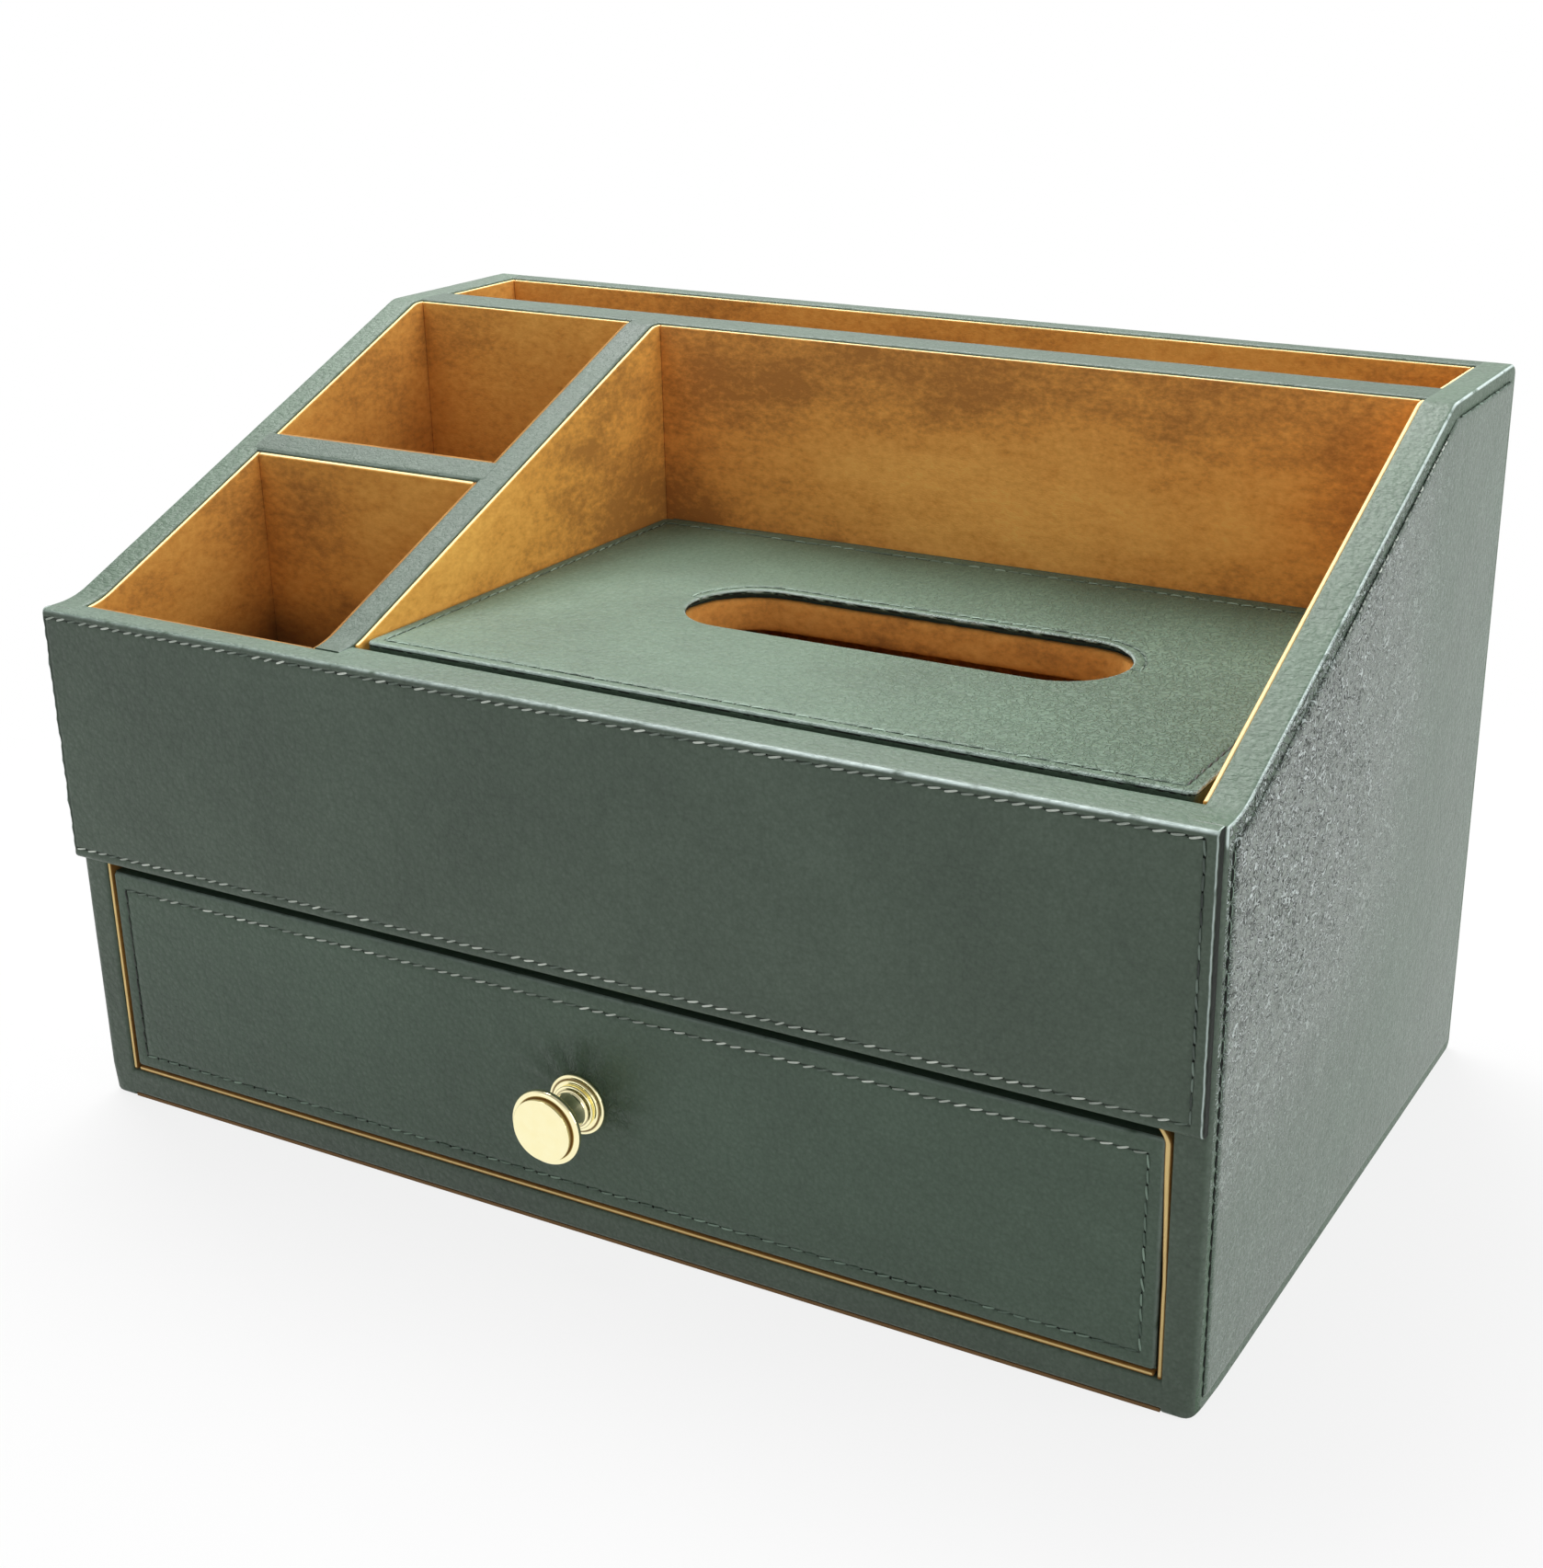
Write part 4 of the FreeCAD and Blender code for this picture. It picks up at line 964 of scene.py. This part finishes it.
def side_sheets():
    """The glued sheets on the outside of both sides, with their slits, beads and stitches."""
    corners = inset(np.array([corner[:2] for corner in side_corners()], float), FACING_MARGIN)
    radii = [FACING_CORNER_RADIUS] * 6
    radii[3:5] = CREST_RADIUS - FACING_MARGIN, FACING_FOOT_RADIUS
    loop = rounded_loop([(*corner, radius) for corner, radius in zip(corners, radii)])
    board_x = box_mm("right_side_board")[1][0]
    (_, sheet_front, _), (sheet_x, _, _) = box_mm("right_side_facing")
    slits = along_line((sheet_front - 0.7, SLITS_TOP), (sheet_front - 0.1, SLITS_FOOT))
    beads = along_line(*[(y, top_line(y) - FACING_MARGIN * 1.06) for y in SLOPE_SEAM], pitch=BEAD_PITCH)
    lands = along_line(*[(y, top_line(y) - FACING_MARGIN) for y in LAND_SEAM])
    for side, sign in (("right", 1), ("left", -1)):
        place = laid_on(0, sign * board_x, sign)
        relief = unevenness(7.0 * sign, (0.10, 14.0, 1 + sign), (0.05, 4.0, 3 + sign))
        sheet = leather_sheet(side + "_side_leather", [loop], sheet_x - board_x, FACING_EDGE_RADIUS, place,
                              relief, (), 0.0, side_leather, "carcass")
        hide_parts(side + "_side_facing")
        slit_row(side + "_front_slits", slits, place, 80 + sign)
        stitch_row(side + "_slope_stitches", beads, place, SIDE_SEAM_HEIGHT, 5 * sign, pale_thread,
                   "carcass", 84 + sign, length=BEAD_LENGTH)
        stitch_row(side + "_land_stitches", lands, place, SIDE_SEAM_HEIGHT, 0, green_thread, "carcass",
                   88 + sign, length=3.5)


def slit_row(name, spots, place, seed):
    """Sunk stitches seen as slits with a near-black floor of painted shadow, each with a thin pale lip
    behind it.
    """
    points, faces, wear, dark = [], [], [], set()
    draw = np.random.default_rng(seed)
    slit = arc((0.0, 0.0), 1.0, 0, 360, SLIT_SIDES)[:-1]
    lip = arc((0.0, 0.0), 1.0, 0, 360, LIP_SIDES)[:-1]
    for middle, direction in spots:
        across = np.array((-direction[1], direction[0]))
        middle = middle + across * draw.normal(0, 0.05)
        half_length = SLIT_HALF_LENGTH + draw.normal(0, 0.08)
        half_width = SLIT_HALF_WIDTH + draw.normal(0, 0.05)
        first_face, first = len(faces), len(points)
        for height in SLIT_HEIGHTS:
            for c, s in slit:
                spot = middle + direction * half_length * c + across * half_width * s * abs(s) ** 0.3
                points.append(place(*spot, height))
        faces += capped_faces(2, SLIT_SIDES, first)
        dark |= set(range(first_face, len(faces)))
        first = len(points)
        for t in np.linspace(-1, 1, LIP_STEPS):
            centre = middle + direction * half_length * t + across * (half_width + 0.12) * (1 - 0.5 * t * t)
            points += [place(*(centre + across * LIP_RADIUS * c), 0.14 + 0.12 * s - 0.1 * abs(t) ** 3)
                       for c, s in lip]
        faces += capped_faces(LIP_STEPS, LIP_SIDES, first)
        wear += [float(np.clip(draw.normal(0.6, 0.3), 0, 1))] * (len(points) - len(wear))
    return new_piece(name, points, faces, green_thread, "carcass", smooth_angle=60,
                     wear=wear, second=(stitch_hole_shadow, dark))


def four_sided(low, high, left=0, bottom=0, right=0, top=0):
    """The corners of a rectangle, each side moved in by its own margin."""
    return np.array([(low[0] + left, low[1] + bottom), (high[0] - right, low[1] + bottom),
                     (high[0] - right, high[1] - top), (low[0] + left, high[1] - top)])


def rounded_box(low, high, radius):
    """A closed rectangle with rounded corners."""
    return rounded_loop([(*corner, radius) for corner in four_sided(low, high)])


def sewn_sides(name, seam, rows, place, height, body, seed):
    """Stitch rows along the sides of a four-sided seam, with the thread and slant named for each."""
    for k, side in enumerate(("bottom", "right", "top", "left")):
        if side not in rows:
            continue
        finish, slant = rows[side]
        spots = along_line(seam[k], seam[(k + 1) % 4])
        stitch_row(name + "_" + side + "_stitches", spots, place, height, slant, finish, body, seed + k)


def back_sheet():
    """The sewn sheet on the back board."""
    low, high = box_mm("back_facing")
    corners = low[[0, 2]], high[[0, 2]]
    thickness = high[1] - low[1]
    place = laid_on(1, low[1], 1)
    seam = four_sided(*corners, 3.6, 3.6, 3.6, 3.6)
    sheet = leather_sheet("back_leather", [rounded_box(*corners, 0.5)], thickness, thickness * 0.5, place,
                          unevenness(31.0, (0.10, 16.0, 5)), (seam,), 0.2, side_leather, "carcass")
    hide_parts("back_facing")
    rows = dict.fromkeys(("bottom", "right", "top", "left"), (green_thread, 8))
    sewn_sides("back", seam, rows, place, thickness, "carcass", 90)


def drawer_sheet():
    """The sewn sheet on the drawer's front, dished under the knob and puckered round it."""
    low, high = box_mm("drawer_front_facing")
    corners = low[[0, 2]], high[[0, 2]]
    knob_middle = np.mean(box_mm("knob"), axis=0)[[0, 2]]
    thickness = high[1] - low[1]
    place = laid_on(1, high[1], -1)
    seam = four_sided(*corners, 3.5, 3.4, 3.5, 4.2)
    uneven = unevenness(3.0, (0.10, 18.0, 7), (0.04, 5.0, 8))

    def relief(flat):
        away = flat - knob_middle
        reach = np.hypot(away[:, 0], away[:, 1])
        angle = np.arctan2(away[:, 1], away[:, 0])
        stronger_above = 0.55 + 0.45 * np.sin(angle)
        folds = np.sin(13 * angle + 1.3 * np.sin(2 * angle)) * np.exp(-((reach - 12) / 6) ** 2)
        dish = -0.12 * np.exp(-(reach / 13) ** 2)
        return uneven(flat) + 0.24 * folds * stronger_above + dish

    sheet = leather_sheet("drawer_leather", [rounded_box(*corners, 1.0)], thickness, 0.8 * thickness, place,
                          relief, (seam,), 0.3, drawer_leather, "drawer")
    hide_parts("drawer_front_facing")
    rows = {"top": (pale_thread, 194), "right": (green_thread, 8), "bottom": (green_thread, 8),
            "left": (dark_thread, 8)}
    sewn_sides("drawer", seam, rows, place, thickness, "drawer", 20)


def lid_sheet():
    """The sewn sheet on the lid, with the tissue slot and the stitches behind it."""
    low, high = box_mm("lid_facing")
    slot = slot_outline()
    thickness = high[2] - low[2]
    place = laid_on(2, low[2], 1)
    seam = four_sided(low, high, 2.8, 3.2, 3.0, 4.0)
    ring = inset(slot, 2.7)
    middle_y = slot.mean(0)[1]
    sheet = leather_sheet("lid_leather_top", [rounded_box(low, high, 2.0), slot], thickness, 0.6 * thickness,
                          place, unevenness(11.0, (0.12, 20.0, 9), (0.05, 5.0, 10)),
                          (seam, ring[ring[:, 1] > middle_y]), 0.5, lid_leather, "lid")
    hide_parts("lid_facing")
    rows = {"bottom": (green_thread, 8), "right": (dark_thread, 8), "top": (green_thread, 8),
            "left": (green_thread, 8)}
    sewn_sides("lid", seam, rows, place, thickness, "lid", 30)
    spots = [spot for spot in along_loop(spaced(ring, 0.8)) if spot[0][1] > middle_y + 1.0]
    stitch_row("slot_stitches", spots, place, thickness, 8, green_thread, "lid", 35)


def slot_outline(outside=0.0):
    """The slot in the lid's leather, or an outline that far outside it."""
    low, high = box_mm("slot_collar")
    centre = (low[:2] + high[:2]) / 2
    length, width = (high - low)[:2] - 2 * COLLAR_REACH
    return stadium_loop(centre, length + 2 * outside, width + 2 * outside)


def slot_pad():
    """The padded suede collar inside the slot, puckered round its ends."""
    low, high = box_mm("slot_collar")
    middle_z, half_height = (low[2] + high[2]) / 2, (high[2] - low[2]) / 2
    path = spaced(slot_outline(COLLAR_REACH - COLLAR_HALF_WIDTH), 1.0)
    before = path - np.roll(path, 1, axis=0)
    after = np.roll(path, -1, axis=0) - path
    along = before / np.linalg.norm(before, axis=1)[:, None] + after / np.linalg.norm(after, axis=1)[:, None]
    along /= np.linalg.norm(along, axis=1)[:, None]
    outward = np.stack((-along[:, 1], along[:, 0]), 1)
    reached = np.cumsum(np.linalg.norm(before, axis=1)) - np.linalg.norm(before[0])
    circle = arc((0.0, 0.0), 1.0, 0, 360, COLLAR_SIDES)[:-1]
    rings = []
    for spot, out, way in zip(path, outward, reached):
        pucker = 0.10 * noise.noise(Vector((way / 3.1, 2.0, 0.5)))
        ring = []
        for c, s in circle:
            across = COLLAR_HALF_WIDTH * math.copysign(abs(c) ** 0.55, c) * (1 + pucker)
            rise = half_height * math.copysign(abs(s) ** 0.7, s) * (1 + 0.3 * pucker)
            ring.append((*(spot + out * across), middle_z + rise))
        rings.append(ring)
    rings = np.array(rings)
    faces = grid_faces(len(rings), COLLAR_SIDES, closed_rows=True, closed_columns=True)
    pad = new_piece("slot_pad", rings.reshape(-1, 3), faces, pad_suede, "lid", smooth_angle=80)
    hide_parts("slot_collar")


def fascia_ring(size, lap_y, lap_radius):
    """Section (y, z) of the fascia, from the case's front down, out and up its face, and over the lap."""
    front, top, bottom, case_front, rim_z = size
    out, low, high = front + FASCIA_RADIUS, bottom + FASCIA_RADIUS, top - FASCIA_RADIUS
    heights = np.concatenate((bottom + np.array((1.4, 1.9, 2.3, 2.5, 2.7, 2.9, 3.1, 3.5, 4.4)),
                              np.linspace(bottom + 5.6, top - 5.6, 46),
                              top - np.array((4.6, 3.6, 2.8, 2.4, 2.2, 2.0, 1.8, 1.6, 1.4))))
    return ([(case_front, bottom)] + arc((out, low), FASCIA_RADIUS, 270, 180, 6)[:-1]
            + [(front, z) for z in heights] + arc((out, high), FASCIA_RADIUS, 180, 90, 6)[1:]
            + [(y, top) for y in np.linspace(out, lap_y - lap_radius, 7)[1:]]
            + arc((lap_y - lap_radius, top - lap_radius), lap_radius, 90, 0, 5)[1:]
            + [(lap_y, rim_z), (case_front, rim_z)])


def fascia():
    """The stitched fascia: a padded face with rounded edges that laps back over the front rim.

    The lap is narrow over the bins, wider over the tissue bay and folded off at the side boards."""
    (_, front, bottom), (half, bay_lap, top) = box_mm("front_fascia")
    (_, case_front, _), (inner_x, bin_lap, rim_z) = box_mm("front_board")
    step_x = box_mm("bay_divider")[1][0]
    # The rings stand close together by each end and its seam, and on both sides of a step of the lap.
    from_ends = [0.0, 0.04, 0.15, 0.35, 0.7, 1.2, 1.8, 2.3, 2.6, 2.85, 3.1, 3.35, 3.6, 3.9, 4.5]
    ends = [sign * (half - distance) for sign in (-1, 1) for distance in from_ends]
    steps = [step_x - 0.02, step_x + 0.02, -inner_x - 1.0, -inner_x - 0.9, inner_x + 0.9, inner_x + 1.0]
    xs = sorted(set(np.round(np.concatenate((ends, np.linspace(-half + 5.6, half - 5.6, 240), steps)), 3)))
    rings = []
    for x in xs:
        drop = float(edge_drop(np.array(half - abs(x)), FASCIA_END_RADIUS))
        lap = (bin_lap if x < step_x else bay_lap, 1.0)
        if abs(x) > inner_x + 0.95:
            lap = (case_front + 0.4, 0.2)
        rings.append([(x, y + (drop if y < case_front - 0.2 else 0.0), z)
                      for y, z in fascia_ring((front, top, bottom, case_front, rim_z), *lap)])
    shape = np.shape(rings)
    flat = np.reshape(rings, (-1, 3))

    uneven = 0.11 * swell(flat, 24.0, 12) + 0.03 * swell(flat, 5.0, 13)
    face = (flat[:, 1] < front + FASCIA_RADIUS + 0.1) & (flat[:, 2] > bottom + 0.2)
    edge = np.minimum(np.minimum(flat[:, 2] - bottom, top - flat[:, 2]), half - np.abs(flat[:, 0]))
    seam = four_sided((-half, bottom), (half, top), 1.0, 2.7, 3.1, 2.0)
    from_seam = distance_to([seam], flat[:, [0, 2]])
    sunk = seam_dip(from_seam) - uneven * np.clip(edge / UNEVEN_REACH, 0, 1)
    flat[:, 1] += np.where(face & (flat[:, 2] < top - 0.5), sunk, 0.0)
    flat[:, 2] += np.where(flat[:, 2] > top - 0.4, 0.03 * swell(flat, 8.0, 14), 0.0)
    from_end = half - np.abs(flat[:, 0])
    ripple = np.array([noise.noise(Vector((z / 5.0, 4.0, math.copysign(3.0, x)))) for x, _, z in flat])
    scallop = 0.13 * np.sin(flat[:, 2] * 2 * math.pi / STITCH_PITCH)
    wavy = 0.35 + np.where(flat[:, 0] < 0, 1.0, 0.3) * (0.5 * ripple + scallop)
    flat[:, 0] -= np.sign(flat[:, 0]) * wavy * np.clip(1 - from_end / 2.5, 0, 1)

    # A painted highlight, partly wear, along the top front edge, stronger towards the right, and a thin one
    # down the right end's face.
    from_edge = np.hypot(flat[:, 1] - (front + 0.45), flat[:, 2] - (top - 0.35))
    wear = np.clip(1.4 - from_edge / 0.5, 0, 1) * np.interp(flat[:, 0], (-90, 60), (0.3, 0.75))
    wear = np.maximum(wear, 0.7 * np.clip(1 - np.abs(from_end - 0.35) / 0.3, 0, 1))
    # Painted shade on the end wall and in the seam's channel.
    wear = np.where(from_end < 0.1, -1.0, wear)
    wear -= np.where(face, seam_shade(distance_to([seam], flat[:, [0, 2]])), 0.0)
    points, faces = swept_solid(flat.reshape(shape))
    # The lap on top takes the lighter lap leather: painted light on the same hide as the face.
    lap_faces = {k for k, face in enumerate(faces) if points[list(face)][:, 2].mean() > top - 0.5}
    board = new_piece("fascia_leather", points, faces, front_leather, "carcass",
                      wear=wear, second=(lap_leather, lap_faces))
    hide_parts("front_fascia")
    rows = {"top": (pale_thread, 194), "bottom": (pale_thread, 15), "right": (dim_thread, 4)}
    sewn_sides("fascia", seam, rows, laid_on(1, case_front, -1), case_front - front, "carcass", 40)


def top_line(y):
    """Height of the side boards' top edge at a depth."""
    (_, front, _), (_, rear, _) = box_mm("right_side_board")
    loop = rounded_loop(side_corners(), steps=16)
    upper = loop[(loop[:, 1] > SLOPE_ABOVE) & (loop[:, 0] > front + 0.5) & (loop[:, 0] < rear - 3.5)]
    upper = upper[np.argsort(upper[:, 0])]
    return np.interp(y, upper[:, 0], upper[:, 1])


def rub_and_highlight_share(angle, radius):
    """How pale a rounded edge is made, partly wear and partly a painted highlight: most in the middle of its
    turn, and less on a fuller rounding.
    """
    return np.minimum(1.0, 1.2 * math.sin(2 * angle) ** 4) * np.minimum(1.0, 0.9 / radius)


def wrapped_board(name, node, loop, across, radii, axes, seed, raise_by=None, square_ends=False,
                  rub_and_highlight=(0.3, 0.3), material=None):
    """A board wrapped in leather: its outline swept over its thickness with rounded edges.

    across is the low and high face, and radii the rounding at each, or what gives it round the outline.
    axes are the part's axes that the outline and the thickness run along. raise_by gives an extra rise by
    depth, for a top that slopes. square_ends keeps the ends full length. The rub argument says how pale the
    low and the high edge are made, partly wear and partly a painted highlight. A material of its own leaves
    the strip down the front to the darker front leather, painted shade."""
    loop = spaced(loop, WRAP_STEP)
    low_face, high_face = across
    low_radius, high_radius = (np.broadcast_to(r(loop) if callable(r) else r, len(loop)) for r in radii)
    turns = [math.pi / 2 * k / 5 for k in range(6)]
    flat_low, flat_high = low_face + low_radius, high_face - high_radius
    profile = [(low_face + low_radius * (1 - math.cos(a)), low_radius * (1 - math.sin(a)),
                rub_and_highlight[0] * rub_and_highlight_share(a, low_radius)) for a in turns]
    profile += [(flat_low + (flat_high - flat_low) * t, 0.0, 0 * low_radius)
                for t in np.linspace(0, 1, 7)[1:-1]]
    profile += [(high_face - high_radius * (1 - math.cos(a)), high_radius * (1 - math.sin(a)),
                 rub_and_highlight[1] * rub_and_highlight_share(a, high_radius)) for a in reversed(turns)]
    outward = inset(loop, -1.0) - loop
    if square_ends:
        outward[:, 0] = 0.0
    sections = np.zeros((len(profile), len(loop), 3))
    for section, (level, depth, _) in zip(sections, profile):
        depth = np.reshape(depth, (-1, 1))
        moved = loop - outward * depth
        section[:, list(axes[:2])] = moved if square_ends else np.maximum(moved, loop.min(0) + depth)
        section[:, axes[2]] = level
    spots = sections.reshape(-1, 3)
    rise = (0.05 * swell(spots, 12.0, seed) + 0.02 * swell(spots, 3.0, seed + 1)).reshape(sections.shape[:2])
    for k, axis in enumerate(axes[:2]):
        sections[:, :, axis] += rise * outward[:, k]
    if raise_by is not None:
        sections[:, :, 2] += np.where(sections[:, :, 2] > SLOPE_ABOVE, raise_by(sections[:, :, 1]), 0.0)
    points = list(sections.reshape(-1, 3))
    faces = grid_faces(*sections.shape[:2], closed_columns=True)
    # Only the edges up on the rims take the pale wear and painted highlight.
    high_up = np.where(loop[:, 1] > RUBBED_AND_LIT_ABOVE, 1.0, 0.15)
    wear = list((np.array([share for _, _, share in profile]) * high_up).ravel())
    for end in (sections[0], sections[-1]):
        ring = end[:, list(axes[:2])]
        flat, caps = triangulated([ring], [], [])
        first = len(points)
        points += [end[int(np.argmin(((ring - spot) ** 2).sum(1)))] for spot in flat]
        faces += [tuple(first + k for k in face) for face in caps]
        wear += [0.0] * len(flat)
    second = None
    # The front strip takes the darker front leather, painted shade on a face turned from the light.
    if material:
        front = min(spot[1] for spot in points)
        second = (front_leather, {k for k, face in enumerate(faces)
                                  if max(points[corner][1] for corner in face) < front + WRAP_FRONT})
    board = new_piece(name, points, faces, material or rim_leather, "carcass",
                      wear=wear, second=second)
    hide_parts(node)


def outer_radius(loop):
    """Rounding of a side board's outer edge: small on top, fuller down the front and at its foot."""
    y, z = loop[:, 0] - loop[:, 0].min(), loop[:, 1]
    down_front = np.clip(1 - y / 4.0, 0, 1) * np.clip((SLITS_TOP - z) / 6.0, 0, 1)
    foot = np.clip(1 - z / 8.0, 0, 1) * np.clip(1 - y / 14.0, 0, 1)
    return OUTER_EDGE_RADIUS + FRONT_EDGE_EXTRA * down_front + FOOT_EDGE_EXTRA * foot


def side_boards():
    """Both side boards, wrapped, with the fuller rounding on their outside, paler there with wear and a
    painted highlight.
    """
    # The right board's outer edge takes the strongest painted highlight.
    for side, radii, rub_and_highlight, seed in (("right", (RIM_RADIUS, outer_radius), (0.3, 1.0), 51),
                                   ("left", (outer_radius, RIM_RADIUS), (0.5, 0.3), 49)):
        low, high = box_mm(side + "_side_board")
        wrapped_board(side + "_side_wrap", side + "_side_board", rounded_loop(side_corners()),
                      (low[0], high[0]), radii, (1, 2, 0), seed, rub_and_highlight=rub_and_highlight, material=edge_leather)


def dividers():
    """The wrapped walls between the bays, and the back board."""
    rims = (RIM_RADIUS, RIM_RADIUS)
    for node, radii in (("main_divider", rims), ("back_board", (RIM_RADIUS, CORNER_RADIUS))):
        low, high = box_mm(node)
        wrapped_board(node + "_wrap", node, four_sided(low[[0, 2]], high[[0, 2]]), (low[1], high[1]), radii,
                      (0, 2, 1), 60 + int(low[1]), square_ends=node == "back_board")
    low, high = box_mm("bay_divider")
    loop = np.array([(low[1], low[2]), (high[1], low[2])]
                    + [(y, top_line(y)) for y in (*np.arange(high[1], low[1], -1.0), low[1])])
    wrapped_board("bay_divider_wrap", "bay_divider", loop, (low[0], high[0]), rims, (1, 2, 0), 71)
    low, high = box_mm("bin_divider")
    top = top_line((low[1] + high[1]) / 2)
    wrapped_board("bin_divider_wrap", "bin_divider", four_sided((low[0], low[2]), (high[0], top)),
                  (low[1], high[1]), rims, (0, 2, 1), 75, raise_by=lambda y: top_line(y) - top)


def hinge_strip():
    """One folded strip that joins the lid's rear edge to the card behind it."""
    lid_low, lid_high = box_mm("hinge_lid_leaf")
    wall_low, wall_high = box_mm("hinge_wall_leaf")
    outer_fold, inner_fold = (wall_high[1] - lid_low[1]) / 2, (wall_low[1] - lid_high[1]) / 2
    fold = ((lid_high[1] + wall_low[1]) / 2, lid_high[2] - outer_fold)
    ring = [(lid_low[1], z) for z in np.linspace(lid_low[2], fold[1], 4)]
    ring += arc(fold, outer_fold, 180, 0, 8)[1:]
    ring += [(wall_high[1], z) for z in np.linspace(fold[1], wall_low[2], 5)[1:]]
    ring += [(wall_low[1], z) for z in np.linspace(wall_low[2], fold[1], 5)]
    ring += arc(fold, inner_fold, 0, 180, 6)[1:]
    ring += [(lid_high[1], z) for z in np.linspace(fold[1], lid_low[2], 4)[1:]]
    sections = [[(x, y, z) for y, z in ring] for x in np.linspace(lid_low[0], lid_high[0], 80)]
    points, faces = swept_solid(sections)
    strip = new_piece("hinge_strip", points, faces, edge_leather, None, smooth_angle=60)
    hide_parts("hinge_lid_leaf", "hinge_wall_leaf")
    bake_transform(strip)


# --- Studio -------------------------------------------------------------------------------------------
ROOM_LIGHT = 0.42            # strength of the white room as a source of light
SHADOW_REACH = (190.0, 420.0)        # distances over which the floor turns from shaded to white
SHADOW_WHITENESS = 0.84      # share of white in the floor under the box
CAMERA_SPOT = (0.28217, -0.47449, 0.29406)
CAMERA_TURN = (68.226, 0.208, 28.629)        # in degrees
SENSOR_WIDTH, FOCAL_LENGTH = 36.0, 53.7436   # in millimetres
CAMERA_SHIFT = (-102, 27)    # across and up, in pixels
FRAME_HEIGHT = 1705          # height of the rendered frame, in pixels
LAMPS = {                    # where each stands, where it points, its size and its watts
    "overhead": ((-0.45, 0.45, 1.25), (0.0, 0.0, 0.1), (1.0, 0.9), 30.0),
    "right": ((1.3, 0.1, 0.6), (0.0, 0.0, 0.1), (0.8, 0.8), 7.0),
    "front": ((-0.5, -1.4, 0.8), (0.0, 0.0, 0.08), (1.0, 0.8), 1.0),
}


def floor():
    """A plain pale floor that takes the shadow and turns white away from the box."""
    shader = Shader("studio_floor")
    grain = shader.clouds(shader.place(), 60.0, detail=2.0)
    colour = shader.mix(grain, (0.60, 0.60, 0.60), (0.64, 0.64, 0.64))
    diffuse = shader.node("BsdfDiffuse", sockets={"Color": colour})
    glow = shader.node("Emission", sockets={"Color": (1.0, 1.0, 1.0), "Strength": 1.0})
    mirrored = shader.ray("Glossy") + shader.ray("Transmission")
    x, y, _ = shader.split(shader.place())
    away = shader.between((x * x + y * y) ** 0.5, *SHADOW_REACH)
    whiteness = shader.ray("Camera") * (SHADOW_WHITENESS + away * (1 - SHADOW_WHITENESS)) + mirrored
    surface = shader.node("MixShader", sockets={0: whiteness, 1: diffuse, 2: glow})
    shader.node("OutputMaterial", sockets={"Surface": surface})
    mesh = bpy.data.meshes.new("studio_floor")
    reach = 6.0
    mesh.from_pydata([(-reach, -reach, 0), (reach, -reach, 0), (reach, reach, 0), (-reach, reach, 0)], [],
                     [(0, 1, 2, 3)])
    mesh.materials.append(shader.material)
    ground = bpy.data.objects.new("studio_floor", mesh)
    bpy.context.scene.collection.objects.link(ground)


def lamp(name, location, target, size, watts):
    """A soft rectangular lamp that points at a target."""
    light = bpy.data.lights.new(name, "AREA")
    light.shape = "RECTANGLE"
    light.size, light.size_y = size
    light.energy = watts
    holder = bpy.data.objects.new(name, light)
    holder.location = location
    holder.rotation_euler = (Vector(target) - Vector(location)).to_track_quat("-Z", "Y").to_euler()
    bpy.context.scene.collection.objects.link(holder)


def surroundings():
    """A white room: white where it is seen or mirrored, and dimmer overhead and as a source of light."""
    world = bpy.data.worlds.new("studio")
    bpy.context.scene.world = world
    shader = Shader("studio", world)
    shown = shader.ray("Camera") + shader.ray("Glossy") + shader.ray("Transmission")
    height = shader.split(shader.node("TexCoord", output="Generated"))[2]
    backdrop = 1 - shader.between(height, 0.35, 0.9) * 0.55
    strength = shown * (backdrop - ROOM_LIGHT) + ROOM_LIGHT
    background = shader.node("Background", sockets={"Color": (1.0, 1.0, 1.0), "Strength": strength})
    shader.node("OutputWorld", sockets={"Surface": background})


def camera():
    """The camera, worked out from the box's own edges."""
    lens = bpy.data.cameras.new("camera")
    lens.sensor_width = SENSOR_WIDTH
    lens.lens = FOCAL_LENGTH
    lens.shift_x, lens.shift_y = (pixels / FRAME_HEIGHT for pixels in CAMERA_SHIFT)
    holder = bpy.data.objects.new("camera", lens)
    holder.location = CAMERA_SPOT
    holder.rotation_euler = [math.radians(angle) for angle in CAMERA_TURN]
    bpy.context.scene.collection.objects.link(holder)
    bpy.context.scene.camera = holder


dress_nodes()
suede_cards()
curled_card()
knob()
side_boards()
dividers()
side_sheets()
back_sheet()
fascia()
drawer_sheet()
lid_sheet()
slot_pad()
hinge_strip()
floor()
for lamp_name, settings in LAMPS.items():
    lamp(lamp_name, *settings)
surroundings()
camera()
bpy.context.scene.view_settings.view_transform = "Standard"
